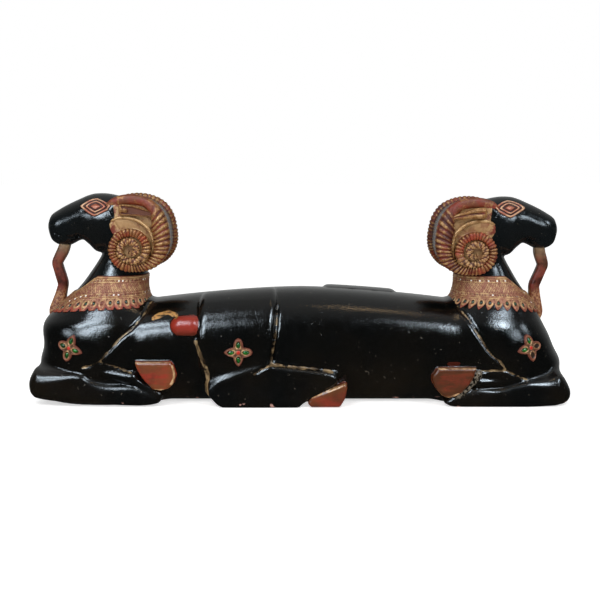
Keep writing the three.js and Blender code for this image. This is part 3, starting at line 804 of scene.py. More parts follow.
def surface_net(field, low, high, step):
    """A closed quad mesh of the surface where field(x, y, z) is zero, capped where the grid ends."""
    axes = [np.arange(a - step, b + 2 * step, step) for a, b in zip(low, high)]
    value = field(axes[0][:, None, None], axes[1][None, :, None], axes[2][None, None, :])
    border = np.ones(value.shape, bool)
    border[1:-1, 1:-1, 1:-1] = False
    value = np.where(border, np.maximum(value, step / 2), value)
    inside = value < 0
    cells = tuple(n - 1 for n in value.shape)
    total = np.zeros(cells + (3,))
    count = np.zeros(cells)
    changes = []
    for axis in range(3):
        first = [slice(None)] * 3
        second = [slice(None)] * 3
        first[axis] = slice(None, -1)
        second[axis] = slice(1, None)
        a, b = value[tuple(first)], value[tuple(second)]
        change = inside[tuple(first)] != inside[tuple(second)]
        share = np.where(change, a / np.where(change, a - b, 1), 0)
        others = [k for k in range(3) if k != axis]
        for corner in ((0, 0), (0, 1), (1, 0), (1, 1)):
            edge = [slice(None)] * 3
            for k, d in zip(others, corner):
                edge[k] = slice(d, d + cells[k])
            part = change[tuple(edge)]
            count += part
            total[..., axis] += share[tuple(edge)]
            for k, d in zip(others, corner):
                total[..., k] += d * part
        changes.append((axis, others, change, inside[tuple(first)]))
    used = count > 0
    number = np.full(cells, -1)
    number[used] = np.arange(used.sum())
    points = np.argwhere(used) + total[used] / count[used][:, None]
    points = points * step + np.array([a[0] for a in axes])
    faces = []
    for axis, (u, v), change, starts_inside in changes:
        where = np.argwhere(change)
        inner = (where[:, u] > 0) & (where[:, v] > 0) & (where[:, u] < cells[u]) & (where[:, v] < cells[v])
        where = where[inner]
        corners = []
        for du, dv in ((1, 1), (0, 1), (0, 0), (1, 0)):
            cell = where.copy()
            cell[:, u] -= du
            cell[:, v] -= dv
            corners.append(number[tuple(cell.T)])
        quads = np.stack(corners, axis=1)
        flip = starts_inside[tuple(where.T)] == (axis == 1)
        quads[flip] = quads[flip][:, ::-1]
        faces.append(quads)
    for _ in range(3):
        points = onto_surface(field, points, step)
    return points, np.concatenate(faces)


def gradient(field, points, small=0.3):
    here = field(*points.T)
    slope = [(field(*(points + small * axis).T) - here) / small for axis in np.eye(3)]
    return here, np.stack(slope, axis=1)


def onto_surface(field, points, step):
    """Moves points along the field's gradient onto its surface, by at most half a grid step."""
    here, slope = gradient(field, points)
    size = np.maximum((slope ** 2).sum(axis=1), 0.05)
    move = -slope * (here / size)[:, None]
    length = np.maximum(np.linalg.norm(move, axis=1), 1e-9)
    return points + move * np.minimum(1, 0.5 * step / length)[:, None]


# Pieces

def placed(name, data):
    made = bpy.data.objects.new(name, data)
    bpy.context.scene.collection.objects.link(made)
    return made


def piece(name, points, faces, material, node=WOOD_NODE, slot=WOOD_SLOT, facing=1, fields=None):
    """A mesh piece made of points in millimetres, with named values at its points."""
    mesh = bpy.data.meshes.new(name)
    places = np.asarray(points, float) * (facing * MM, facing * MM, MM)
    mesh.from_pydata(places.tolist(), [], faces)
    mesh.shade_smooth()
    for key, values in (fields or {}).items():
        layer = mesh.attributes.new(key, "FLOAT", "POINT")
        layer.data.foreach_set("value", np.asarray(values, np.float32))
    mesh.materials.append(material)
    made = placed(name, mesh)
    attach(made, "root")
    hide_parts(node)
    return made


def ring_faces(rings, around):
    """Quads between rings of points that follow each other in one list."""
    i = np.arange(rings - 1)[:, None] * around
    j = np.arange(around)
    k = (j + 1) % around
    quads = np.stack([i + j, i + k, i + around + k, i + around + j], axis=-1)
    return quads.reshape(-1, 4).tolist()


def cap_faces(ring, centre, flip):
    """A fan of triangles from a centre to a ring."""
    ring = list(ring)
    pairs = zip(ring, ring[1:] + ring[:1])
    return [(centre, b, a) if flip else (centre, a, b) for a, b in pairs]


def closed_rings(count, around):
    """Faces of rings that follow each other, with a fan to one more point at each end."""
    last = count * around
    faces = ring_faces(count, around)
    faces += cap_faces(range(around), last, True)
    faces += cap_faces(range(last - around, last), last + 1, False)
    return faces


def tube(rings):
    """A closed skin over an array of rings, with a fan at both ends, facing outwards."""
    rings = np.asarray(rings, float)
    points = np.concatenate([rings.reshape(-1, 3), [rings[0].mean(axis=0), rings[-1].mean(axis=0)]])
    faces = closed_rings(*rings.shape[:2])
    a, b, c, d = (points[[f[k] for f in faces]] for k in (0, 1, 2, -1))
    volume = np.einsum("ij,ij->i", a, np.cross(b, c)).sum()
    volume += np.einsum("ij,ij->i", a, np.cross(c, d)).sum()
    if volume < 0:
        faces = [f[::-1] for f in faces]
    return points, faces


def joined(parts):
    points, faces, start = [], [], 0
    for some, quads in parts:
        points.append(some)
        faces += [tuple(i + start for i in f) for f in quads]
        start += len(some)
    return np.concatenate(points), faces


def moved_with_head(ram, points):
    return np.asarray(points, float) + (ram["head"][0], 0, ram["head"][1])


# The body, the two heads

def build_body(material):
    """The body, with its distances to painted and gilded parts, which are negative inside them."""
    across, deep = BODY_REACH
    points, faces = surface_net(body_field, (-across, -deep, 0), (across, deep, LOG["top"]), BODY_STEP)
    points[:, 2] = np.maximum(points[:, 2], 0)
    x, y, z = points.T
    gilt, red, rims = (np.full(len(points), UNMARKED) for _ in range(3))
    tail, brown, flaked = (np.zeros(len(points)) for _ in range(3))
    rest = trunk_field(x, y, z)
    for ram in RAMS.values():
        u, v = own_frame(ram, x, y)
        rest = np.minimum(rest, with_limbs(ram, rest, u, v, z))
    rest = np.clip(rest, -20, 20)
    for name, ram in RAMS.items():
        u, v = own_frame(ram, x, y)
        for outline, hoof, side, rim in hooves(ram):
            here = slab_near(outline, hoof, side, u, v, z) - rest
            red = np.minimum(red, here)
            if name == "right":
                brown = np.where(here < 1, 1.0 if hoof is FRONT_HOOF else 0.45, brown)
            for line, half in rim:
                away, place = line_distance(line, u, z)
                rims = np.where(side * v > RIM_FROM, np.minimum(rims, away - half), rims)
        stub = rod_near(TAIL, -1, u, v, z) - rest
        tail = np.maximum(tail, (stub < 1).astype(float))
        red = np.minimum(red, stub)
        if name == "right":
            flaked = unit(-rod_near(ram["pastern"], -1, u, v, z) / 2 + 0.8) * (v < 0)
        gilt_lines = [(line, sides, 0) for line, sides, width, depth in cuts(ram)]
        gilt_lines.append((RUMP_LINE, OUTER_SIDE, RUMP_LINE_WIDER))
        for line, sides, wider in gilt_lines:
            away, place = line_distance(line, u, z)
            for side in sides:
                gilt = np.where(side * v > SIDE_FROM, np.minimum(gilt, away - wider), gilt)
    smudge, smear = (np.where(y < 0, line_distance(mark, x, z)[0], UNMARKED) for mark in (SMUDGE, SMEAR))
    fields = {
        "gilt": gilt, "red": red, "rim": rims, "tail": tail, "brown": brown, "flaked": flaked,
        "smudge": smudge, "smear": smear,
    }
    return piece("ram_body", points, faces.tolist(), material, fields=fields)


def horn_edge(x, z):
    """How far inside the horn's outer outline a point of the side view lies."""
    turn, radius = from_boss(x, z)
    return horn_outer(np.clip(turn, HORN[0][0], 360))[0] - 3 - radius


def build_head(name, ram, material):
    points, faces = surface_net(head_field(ram), HEAD_LOW, HEAD_HIGH, HEAD_STEP)
    x, y, z = (points - (ram["head"][0], 0, ram["head"][1])).T
    heights, edges = zip(*FACE_EDGE)
    side = np.minimum(np.interp(z, heights, edges) - x, np.abs(y) - FACE_EDGE_OUT)
    fields = {"side": np.minimum(side, horn_edge(x, z))}
    return piece(f"ram_head_{name}", points, faces.tolist(), material, facing=ram["facing"], fields=fields)


# Horns

def rib_phase(turn, pitch):
    outer = (np.minimum(turn, RIB_RING_FROM) - FAR_RIB_FROM) / pitch
    ring = np.clip(turn - RIB_RING_FROM, 0, RIB_TO - RIB_RING_FROM) / RING_PITCH
    lumps = np.maximum(turn - RIB_TO, 0) / LUMP_PITCH
    return outer + ring + lumps


def round_boss(angle, radius, out):
    """Points at angles and radii round the boss, and out from the middle plane."""
    return np.stack([BOSS[0] + radius * np.cos(angle), out, BOSS[1] + radius * np.sin(angle)], axis=-1)


def lip_rings(side):
    """The smooth lip that runs from the cheek over the curl to the horn's inner edge."""
    turns = np.linspace(LIP[0][0], LIP[-1][0], LIP_RINGS)[:, None]
    radius, out = through(LIP)(turns)
    share = np.linspace(0, 1, LIP_RINGS)[:, None]
    swell = 0.35 + 0.65 * unit(np.minimum(share / 0.12, (1 - share) / 0.25)) ** 0.5
    bend = full_turn(LIP_AROUND)
    wide = radius + LIP_HALF[0] * swell * np.cos(bend)
    deep = out + LIP_HALF[1] * swell * np.sin(bend)
    return round_boss(np.radians(turns), wide, side * deep)


def build_horn(name, ram, side, material, rng):
    """A round-backed band wound round the boss, ribbed across, and knobbly in the middle of the curl."""
    first, last = HORN[0][0], HORN[-1][0]
    turns = [np.arange(first, RIB_TO, HORN_STEP), np.arange(RIB_TO, last, CORE_STEP), [last]]
    turns = np.concatenate(turns)[:, None]
    outer, inner, out = through(HORN)(turns)
    near = side * ram["facing"] < 0
    start, end = OVER_CURL
    outer = outer + (NEAR_EDGE if near else FAR_EDGE) * unit((turns - start) / 30) * unit((end - turns) / 40)
    half = (outer - inner) / 2
    middle = (outer + inner) / 2
    height = half * HORN_THICKNESS
    phase = rib_phase(turns, RIB_PITCH if near else FAR_RIB_PITCH)
    ribs = np.arange(RIBS_AT_MOST)
    jitter = np.interp(phase, ribs, rng.uniform(-RIB_JITTER, RIB_JITTER, RIBS_AT_MOST))
    sizes = np.interp(phase, ribs + 0.5, rng.uniform(*RIB_SIZES, RIBS_AT_MOST))
    crest = np.abs(np.sin(np.pi * (phase + jitter))) ** 0.6
    ribbed = unit((turns - (RIB_FROM if near else FAR_RIB_FROM)) / RIBS_GROW_OVER)
    core = unit((turns - RIB_TO) / CORE_GROWS_OVER)
    depth = np.interp(turns, *zip(*RIB_DEPTH))
    bend = full_turn(HORN_AROUND)
    radial, rise = rounded_square(bend, HORN_SQUARENESS)
    beads = 0.5 + 0.5 * np.cos(2.6 * bend + 2.4 * phase)
    lumpy = crest * (1 - core * 0.75 * beads)
    cut = ribbed * depth * sizes * (1 - lumpy) * unit(np.sin(bend) + 0.75)
    foot = np.where(rise < 0, half * 0.8, height)
    across = out - half * 0.12 + foot * rise - cut * unit(rise)
    radius = middle + half * radial - cut * radial * 0.9
    rings = round_boss(np.radians(turns), radius, side * across)
    band = tube(moved_with_head(ram, rings))
    lip = tube(moved_with_head(ram, lip_rings(side)))
    points, faces = joined([band, lip])

    def each(values, on_lip):
        full = np.broadcast_to(values, (len(turns), HORN_AROUND)).ravel()
        return np.concatenate([full, [full[0], full[-1]], np.full(len(lip[0]), on_lip)])

    in_ring = unit((turns - RIB_RING_FROM) / RING_GROWS_OVER) * (1 - core)
    fields = {
        "crest": each(lumpy * ribbed + (1 - ribbed) * 0.55, 1.25),
        "plain": each(1 - ribbed, 0.0),
        "ring": each(in_ring, 0.0),
        "core": each(core, 0.0),
    }
    label = f"horn_{name}_{place_name(ram, side)}"
    return piece(label, points, faces, material, facing=ram["facing"], fields=fields)


# Ears

def ear_hollow(ahead, length, half, tall):
    """A hollow boat with a knob in front, for the left ram."""
    hollow = unit((length - 3.5 - ahead) / 3) * unit((ahead - 4) / 12)
    hollow = hollow * unit((0.80 - np.abs(tall)) / 0.25)
    knob = np.hypot((ahead - (length - 10)) / 6.5, half * tall / 6.0)
    return EAR_SINK["left"] * unit(hollow - 1.15 * unit(1.15 - knob) ** 0.7)


def ear_folds(ahead, length, tall):
    """Two long folds, for the right ram."""
    folds = np.abs(np.sin(np.pi * tall))
    sink = EAR_SINK["right"] * (1 - folds ** 0.6) * unit((length - 2 - ahead) / 5)
    return np.where(np.abs(tall) > 0.9, 0, sink * unit(1 - np.abs(tall)))


def build_ear(name, ram, side, material):
    rows = np.array(EAR[::-1], float)
    front, back = EAR[0][0], EAR[-1][0]
    place = np.concatenate([[front], np.linspace(front - 0.4, back, EAR_RINGS)])[:, None]
    z, half, out = (np.interp(place, rows[:, 0], rows[:, k]) for k in (1, 2, 3))
    bend = full_turn(EAR_AROUND)
    wide, tall = rounded_square(bend, EAR_SQUARENESS)
    ahead = place - back
    if name == "left":
        sink = ear_hollow(ahead, front - back, half, tall)
    else:
        sink = ear_folds(ahead, front - back, tall)
    crest = 1 - np.broadcast_to(sink, (len(place), len(bend))) / EAR_SINK["left"]
    across = EAR_OUT + out * wide * np.where(np.cos(bend) > 0, 1 - sink, 1)
    rings = np.stack([np.broadcast_to(place, across.shape), side * across, z + half * tall], axis=-1)
    points, faces = tube(moved_with_head(ram, rings))
    fields = {"crest": np.append(crest.ravel(), [1, 1])}
    label = f"ear_{name}_{place_name(ram, side)}"
    return piece(label, points, faces, material, facing=ram["facing"], fields=fields)


# Straps

def rounded_path(points, bend, steps):
    """A polyline with its corners rounded by short curves."""
    points = np.asarray(points, float)
    path = [points[0]]
    for before, corner, after in zip(points, points[1:], points[2:]):
        start, end = (
            corner + one_long(way) * min(bend, np.linalg.norm(way) * 0.45)
            for way in (before - corner, after - corner)
        )
        for t in np.linspace(0, 1, steps):
            path.append((1 - t) ** 2 * start + 2 * t * (1 - t) * corner + t * t * end)
    path.append(points[-1])
    return np.array(path)


def resampled(path, gap):
    lengths = np.append(0, np.cumsum(np.linalg.norm(np.diff(path, axis=0), axis=1)))
    at = np.linspace(0, lengths[-1], int(lengths[-1] / gap) + 1)
    return np.stack([np.interp(at, lengths, path[:, k]) for k in range(path.shape[1])], axis=1), at


def build_strap(name, ram, material):
    count = len(STRAP) - 1
    line = []
    for i, (x, z) in enumerate(STRAP):
        lift = 1 - i / count
        line.append((x + ram["head"][0] * lift + ram["strap"] * (1 - lift), z + ram["head"][1] * lift))
    path, at = resampled(rounded_path(line, 5, 6), STRAP_STEP)
    run = np.gradient(path, axis=0)
    run /= np.linalg.norm(run, axis=1)[:, None]
    aside = np.stack([-run[:, 1], run[:, 0]], axis=1)
    bend = full_turn(STRAP_AROUND)
    wide, deep = rounded_square(bend, STRAP_SQUARENESS)
    u, w = wide * STRAP_WIDTH / 2, deep * STRAP_ACROSS / 2
    swell = 1 + 0.05 * np.sin(at / 17) - 0.04 * np.cos(at / 9 + 1)
    foot = unit((STRAP_FOOT["below"] - path[:, 1]) / STRAP_FOOT["over"])
    swell = (swell + STRAP_FOOT["swell"] * foot)[:, None]
    x, z = (path[:, k:k + 1] + aside[:, k:k + 1] * u * swell for k in (0, 1))
    points, faces = tube(np.stack([x, w * swell, z], axis=-1))
    worn = np.repeat(np.exp(-np.maximum(at - 8, 0) / 14), len(bend))
    fields = {"worn": np.append(worn, [1, 0]), "low": points[:, 2]}
    return piece(f"strap_{name}", points, faces, material, facing=ram["facing"], fields=fields)


# Collars

def neck_point(ram, z, turn, rise):
    middle, half_length, half = fore_section(ram, z)
    forwards, sideways = rounded_square(turn, SECTION_SQUARENESS)
    x = middle + (half_length + rise) * forwards
    y = (half + rise) * sideways
    return np.stack([x, y, z + 0 * x], axis=-1)


def collar_turns(ram, count):
    """Turns round the neck that lie at even distances along the collar."""
    fine = np.linspace(0, 2 * np.pi, 1441)
    ring = neck_point(ram, np.full(fine.shape, COLLAR_MEASURED_AT), fine, 0.0)
    length = np.append(0, np.cumsum(np.linalg.norm(np.diff(ring, axis=0), axis=1)))
    return np.interp(np.linspace(0, length[-1], count, endpoint=False), length, fine)


def collar_height(turn, t):
    """Height on the neck of a share t from the collar's lower edge to its top."""
    front = ((1 + np.cos(turn)) / 2) ** 3
    fall = unit((np.cos(turn) - 0.45) / 0.55)
    fall = fall * fall * (3 - 2 * fall)
    bottom = COLLAR["bottom_behind"] + (COLLAR["bottom_front"] - COLLAR["bottom_behind"]) * front
    top = COLLAR["top_behind"] + (COLLAR["top_front"] - COLLAR["top_behind"]) * fall
    bottom = bottom - COLLAR["leaf_drop"] / 2
    return bottom + (top - bottom) * t


def ridge(place, middle, half, height):
    return height * np.sqrt(np.maximum(1 - ((place - middle) / half) ** 2, 0))


def collar_relief(u, t, leaf_gap):
    """Relief in mm of the collar at u leaves round it and a share t of its height, and the leaves' edges."""
    a = (u - np.floor(u) - 0.5) * LEAF_WIDE
    b = (t - STONE_AT) * COLLAR_HIGH
    reach = np.where(b < 0, 1 - np.abs(b / LEAF_BELOW) ** 1.4, 1 - np.abs(b / LEAF_ABOVE) ** 3)
    leaf = np.abs(a) / (LEAF_WIDE * 0.5) - np.maximum(reach, 0)
    height = np.full(np.broadcast(u, t).shape, COLLAR_RISE)
    setting = np.hypot(a / SETTING[0], b / SETTING[1])
    height = height + 1.3 * bell(setting, 1.15, 0.28) - 0.9 * (setting < 0.85)
    height = height + 0.9 * bell(leaf, -0.16, 0.10) * (b < 7)
    height = np.where((b < 0) & (leaf > leaf_gap), CUT_AWAY, height)
    for middle, half, rise in RIDGES:
        height = height + ridge(t, middle, half, rise)
    for row in DOTS_AT:
        d = (u * DOTS_EACH - np.floor(u * DOTS_EACH) - 0.5) * LEAF_WIDE / DOTS_EACH
        away = np.hypot(d, (t - row) * COLLAR_HIGH)
        height = height + 0.9 * bell(away, 2.5, 0.7)
    soft = NET["soft"]
    band = unit((t - NET["from"]) / soft) * unit((NET["to"] - t) / soft)
    p = u * DOTS_EACH
    q = (t - NET["middle"]) * COLLAR_HIGH / LEAF_WIDE * DOTS_EACH
    lattice = np.minimum(np.abs((p + q) % 1 - 0.5), np.abs((p - q) % 1 - 0.5))
    height = height + band * NET["line"] * bell(lattice, 0, 0.09)
    buds = [bell(np.hypot((p + k) % 1 - 0.5, (q + k) % 1 - 0.5), 0, 0.16) for k in (0, 0.5)]
    height = height + band * NET["bud"] * (buds[0] + buds[1])
    return height, leaf


def build_collar(name, ram, material):
    count = ram["leaves"] * LEAF_COLUMNS
    turn = collar_turns(ram, count)
    u = np.arange(count) / LEAF_COLUMNS
    t = np.linspace(0, 1, COLLAR_ROWS)
    height, leaf = collar_relief(u, t[:, None], ram["leaf_gap"])
    z = collar_height(turn, t[:, None])
    shape = np.broadcast_to(turn, z.shape)
    rings = neck_point(ram, z, shape, height)
    under = neck_point(ram, z[:1] - 0.5, shape[:1], -3.0)
    over = neck_point(ram, z[-1:] + 0.6, shape[:1], 1.2)
    inner = neck_point(ram, z[-1:] - 0.5, shape[:1], -3.0)
    points, faces = tube(np.concatenate([under, rings, over, inner]))
    full = np.concatenate([height[:1] * 0, height, height[-1:], height[-1:] * 0]).ravel()
    edge = np.concatenate([leaf[:1], leaf, leaf[-1:], leaf[-1:]])
    low = np.concatenate([t[:1], t, t[-1:], t[-1:]])
    low = np.broadcast_to(low[:, None], edge.shape)
    fields = {
        "relief": np.append(full, [0, 0]),
        "edge": np.append(np.where(low < 0.16, edge, -1.0).ravel(), [0, 0]),
        "height": np.append(low.ravel(), [0, 1]),
    }
    return piece(f"collar_{name}", points, faces, material, facing=ram["facing"], fields=fields)


def frame_on_neck(ram, turn, z, rise):
    """A place on the collar with axes along it, up it and out of it."""
    at, beside, above = (
        neck_point(ram, np.array([height]), np.array([angle]), rise)[0]
        for height, angle in ((z, turn), (z, turn + 0.01), (z + 1.0, turn))
    )
    along, up = one_long(beside - at), one_long(above - at)
    out = one_long(np.cross(along, up))
    return at, along, np.cross(out, along), out


def dome(place, shape, around=14, steps=4):
    """A small domed stone set in the surface: its points and faces, counted from zero."""
    at, along, up, out = place
    turn = np.arange(around) * 2 * math.pi / around
    rings = []
    for lean in np.linspace(0, 80, steps):
        spread = math.cos(math.radians(lean))
        lift = shape["rise"] * math.sin(math.radians(lean))
        rings.append(
            at + np.outer(np.cos(turn) * shape["half_along"] * spread, along)
            + np.outer(np.sin(turn) * shape["half_up"] * spread, up) + lift * out
        )
    base = rings[0] - 1.2 * out
    points = np.concatenate([base] + rings + [[at + shape["rise"] * out], [at - 1.2 * out]])
    faces = ring_faces(steps + 1, around)
    last = (steps + 1) * around
    faces += cap_faces(range(last - around, last), last, False)
    faces += cap_faces(range(around), last + 1, True)
    return points, faces


def build_stones(name, ram, stone, mirror, rng):
    """The stones in the leaves and the mirror dots, a few of which are lost. Some dots are painted near
    white, as a painted glint.
    """
    stones, dots, painted_glint = [], [], []
    count = ram["leaves"]
    turns = collar_turns(ram, count * LEAF_COLUMNS)

    def on_collar(u, row, rise):
        turn = np.interp((u % count) * LEAF_COLUMNS, np.arange(len(turns)), turns)
        return frame_on_neck(ram, turn, collar_height(turn, row), rise)

    for i in range(count):
        if rng.uniform() > STONE["lost"]:
            stones.append(dome(on_collar(i + 0.5, STONE_AT, STONE["seat"]), STONE))
    for row in DOTS_AT:
        for i in range(int(count * DOTS_EACH)):
            if rng.uniform() > DOT["lost"]:
                place = on_collar((i + 0.5) / DOTS_EACH, row, DOT["seat"])
                dots.append(dome(place, DOT, around=12, steps=3))
                # Marks the dots that are painted near white, a painted glint.
                painted_glint += [float(rng.uniform() < DOT["painted_glint"])] * len(dots[-1][0])
    settings = {"slot": GLASS_SLOT, "facing": ram["facing"]}
    piece(f"collar_stones_{name}", *joined(stones), stone, **settings)
    piece(f"collar_mirrors_{name}", *joined(dots), mirror, fields={"painted_glint": painted_glint}, **settings)


# Relief patches laid on the skin as seen from the side

def skin_y(field, x, z, side, start=6.0, limit=130.0):
    """How far out the skin lies at places of the side view."""
    near = np.full(x.shape, start)
    far = np.full(x.shape, limit)
    for _ in range(26):
        middle = (near + far) / 2
        inside = field(x, side * middle, z) < 0
        near = np.where(inside, middle, near)
        far = np.where(inside, far, middle)
    return near


def skin_frame(field, x, z, side, gap):
    """A place on the skin with axes forwards, upwards and out of it, on either side."""
    xs = np.array([x, x + gap, x - gap, x, x], float)
    zs = np.array([z, z, z, z + gap, z - gap], float)
    y = side * skin_y(field, xs, zs, side)
    points = np.stack([xs, y, zs], axis=1)
    along = points[1] - points[2]
    up = points[3] - points[4]
    out = np.cross(along, up)
    if out[1] * side < 0:
        out = -out
    out, along = one_long(out), one_long(along)
    up = np.cross(out, along)
    if up[2] < 0:
        up = -up
    return points[0], -side * np.cross(up, out), up, out


def relief_patch(field, frame, a, b, height):
    """Points at plane places a and b of a frame, laid on the skin and raised by height along the normal."""
    at, along, up, out = frame
    places = at + a[..., None] * along + b[..., None] * up
    shape = a.shape
    t = np.zeros(shape)
    for _ in range(14):
        here = places + t[..., None] * out
        value = field(here[..., 0].ravel(), here[..., 1].ravel(), here[..., 2].ravel()).reshape(shape)
        t = t - np.clip(value, -3, 3)
    return places + (t + height)[..., None] * out


def laid_patch(field, frame, a, b, height, top, sunk):
    """A closed skin laid on the carving: rings that follow each other outwards from the patch's middle.

    The middle rises by top, and a last point lies at sunk, below the skin.
    """
    rings = relief_patch(field, frame, a, b, height)
    ends = relief_patch(field, frame, np.zeros(2), np.zeros(2), np.array([top, sunk]))
    faces = closed_rings(*rings.shape[:2])
    right_handed = np.dot(np.cross(frame[1], frame[2]), frame[3]) > 0
    points = np.concatenate([rings.reshape(-1, 3), ends])
    return points, [f[::-1] for f in faces] if right_handed else faces


def build_eye(name, ram, side, material):
    field = head_field(ram)
    height = EYE_AT[1] + ram["head"][1] + ram["eye_lift"]
    frame = skin_frame(field, EYE_AT[0] + ram["head"][0], height, side, gap=8.0)
    turn = full_turn(EYE_AROUND)
    share = np.append(np.linspace(0.0, 1.0, EYE_RINGS)[1:], [1.03, 1.06])[:, None]
    c, s = np.cos(turn), np.sin(turn)
    e = np.broadcast_to(share, (len(share), len(turn)))
    power = 1.36 - 0.16 * unit(1 - e / 0.6)
    size = 1 / (np.abs(c) ** power + np.abs(s) ** power) ** (1 / power)
    pull = unit(c) ** 8 * 0.10 + unit(-c) ** 8 * 0.05
    wave = 1 + 0.035 * np.sin(3 * turn + 5 * side) * e
    a = EYE_SIZE[0] * c * (size + pull) * share
    b = EYE_SIZE[1] * s * size * share * wave + 2.0 * unit(c) * share
    height = EYE_BASE
    for rise, middle, width in EYE_FOLDS:
        height = height + rise * bell(e, middle, width)
    height = height + EYE_BALL["rise"] * unit(1 - (e / EYE_BALL["share"]) ** 2) ** EYE_BALL["power"]
    height = np.where(e > 1.0, EYE_BASE - (e - 1.0) * 45, height)
    points, faces = laid_patch(field, frame, a, b, height, 2.2, -7.0)
    fields = {"ring": np.append(e.ravel(), [0, 1]), "relief": np.append(height.ravel(), [2.2, 0])}
    label = f"eye_{name}_{place_name(ram, side)}"
    return piece(label, points, faces, material, facing=ram["facing"], fields=fields)


# Flowers and their glass chips

def flower_list():
    """Every flower: its label, ram, side, place, turn in degrees and lost chips."""
    found = []
    for name, ram in RAMS.items():
        for side in BOTH_SIDES:
            where = place_name(ram, side)
            lost = LOST_CHIPS if where == "near" and name == "right" else ()
            found.append((f"{name}_shoulder_{where}", ram, side, SHOULDER_FLOWER, -side * ram["lean"], lost))
        found.append((f"{name}_haunch", ram, -1, HAUNCH_FLOWER, 0, ()))
    return found


def flower_frame(ram, side, place, turn):
    """The skin as seen from the ram, and a place on it with axes turned by the flower's turn."""
    field = lambda x, y, z: trunk_field(*own_frame(ram, x, y), z)
    at, along, up, out = skin_frame(field, place[0], place[1], side, gap=6.0)
    up_first = one_long(np.cross(out, along))
    angle = math.radians(turn)
    first = math.cos(angle) * along + math.sin(angle) * up_first
    return field, (at, first, np.cross(out, first), out)


def in_petal(turn):
    """The turn from the middle line of the nearest of four petals."""
    return (turn + np.pi / 4) % (np.pi / 2) - np.pi / 4


def petal_radius(turn):
    """Outline of the four-petalled flower: the petals forwards and up are rounder than the others."""
    blunt = np.where(np.round(turn / (np.pi / 2)).astype(int) % 4 < 2, 1.0, 0.0)
    spread = np.abs(in_petal(turn)) / (np.pi / 4)
    places = [0, 0.25, 0.5, 0.75, 1]
    sharp = np.interp(spread, places, [1, 0.71, 0.41, 0.17, 0])
    round_ = np.interp(spread, places, [0.96, 0.84, 0.53, 0.22, 0])
    return FLOWER["waist"] + (FLOWER["reach"] - FLOWER["waist"]) * (sharp + (round_ - sharp) * blunt)


def build_flower(label, ram, side, place, turn, lost, wood, glass):
    field, frame = flower_frame(ram, side, place, turn)
    around = full_turn(FLOWER_AROUND)
    share = np.append(np.linspace(0.03, 1.0, FLOWER_RINGS), [1.03, 1.05])[:, None]
    radius = petal_radius(around) * np.minimum(share, 1.04)
    a, b = radius * np.cos(around), radius * np.sin(around)
    leaning = in_petal(around)
    e = np.broadcast_to(share, radius.shape)
    seat = np.hypot(
        (radius * np.cos(leaning) - CHIP["at"] - 0.4) / (CHIP["length"] / 2 + 0.8),
        radius * np.sin(leaning) / (CHIP["width"] / 2 + 0.6),
    )
    height = FLOWER["height"] + FLOWER["rim"] * bell(e, 0.9, 0.06)
    height = height + FLOWER["seat_rim"] * bell(seat, 1.25, 0.17) - FLOWER["seat"] * unit((1.02 - seat) * 5)
    height = height + HEART["rise"] * unit(1 - (radius / HEART["radius"]) ** 2)
    height = height * unit((1.0 - e) * 14 + 0.15)
    height = np.where(e > 1.0, CUT_AWAY, height)
    points, faces = laid_patch(field, frame, a, b, height, 3.9, -5.0)
    fields = {
        "rim": np.append(e.ravel(), [0, 1]),
        "relief": np.append(height.ravel(), [4.0, 0]),
        "seat": np.append(seat.ravel(), [2, 2]),
        "heart": np.append(unit(1 - radius.ravel() / 5.2), [1, 0]),
    }
    piece(f"flower_{label}", points, faces, wood, facing=ram["facing"], fields=fields)
    for petal in range(4):
        if petal not in lost:
            points, faces = glass_chip(field, frame, petal * math.pi / 2)
            node = f"glass_chip_{label}_{petal + 1}"
            piece(f"chip_{label}_{petal + 1}", points, faces, glass, node, GLASS_SLOT, ram["facing"])


def glass_chip(field, frame, angle):
    """A leaf-shaped chip with a domed top, its point towards the petal's tip."""
    t = full_turn(CHIP_AROUND)
    rows, rise = [], []
    for lean in (0, 0, 18, 40, 62, 80):
        spread = math.cos(math.radians(lean))
        u = CHIP["at"] + CHIP["length"] / 2 * np.cos(t) * spread * (1 + 0.12 * np.cos(t))
        w = CHIP["width"] / 2 * np.sin(t) * spread * (1 - 0.18 * np.cos(t)) * np.abs(np.sin(t)) ** 0.25
        rows.append((u * math.cos(angle) - w * math.sin(angle), u * math.sin(angle) + w * math.cos(angle)))
        rise.append(CHIP["low"] + CHIP["rise"] * math.sin(math.radians(lean)))
    rise[0] = CHIP["foot"]
    a, b = np.stack(rows, axis=1)
    height = np.repeat(np.array(rise)[:, None], len(t), axis=1)
    return tube(relief_patch(field, frame, a, b, height))


# Materials

class Nodes:
    """The nodes of a material or of the world, made one by one."""

    def __init__(self, owner):
        owner.use_nodes = True
        self.tree = owner.node_tree
        self.tree.nodes.clear()

    def link(self, source, target):
        if isinstance(source, (int, float)):
            target.default_value = source
        elif isinstance(source, tuple):
            target.default_value = (*source, 1.0) if len(target.default_value) == 4 else source
        else:
            self.tree.links.new(source, target)

    def node(self, kind, *inputs, **settings):
        made = self.tree.nodes.new(kind)
        for key, value in settings.items():
            setattr(made, key, value)
        for socket, value in zip(made.inputs, inputs):
            if value is not None:
                self.link(value, socket)
        return made

    def math(self, kind, *values):
        return self.node("ShaderNodeMath", *values, operation=kind).outputs[0]

    def times(self, first, second):
        return self.math("MULTIPLY", first, second)

    def plus(self, first, second):
        return self.math("ADD", first, second)

    def swing(self, noise, size):
        """A noise as a value that swings about zero, by half of size either way."""
        return self.times(self.math("SUBTRACT", noise, 0.5), size)

    def ramp(self, value, low, high, start=0.0, end=1.0):
        """value carried from low..high to start..end, with soft ends."""
        made = self.node("ShaderNodeMapRange", interpolation_type="SMOOTHSTEP")
        self.link(value, made.inputs["Value"])
        for key, number in (("From Min", low), ("From Max", high), ("To Min", start), ("To Max", end)):
            made.inputs[key].default_value = number
        return made.outputs[0]


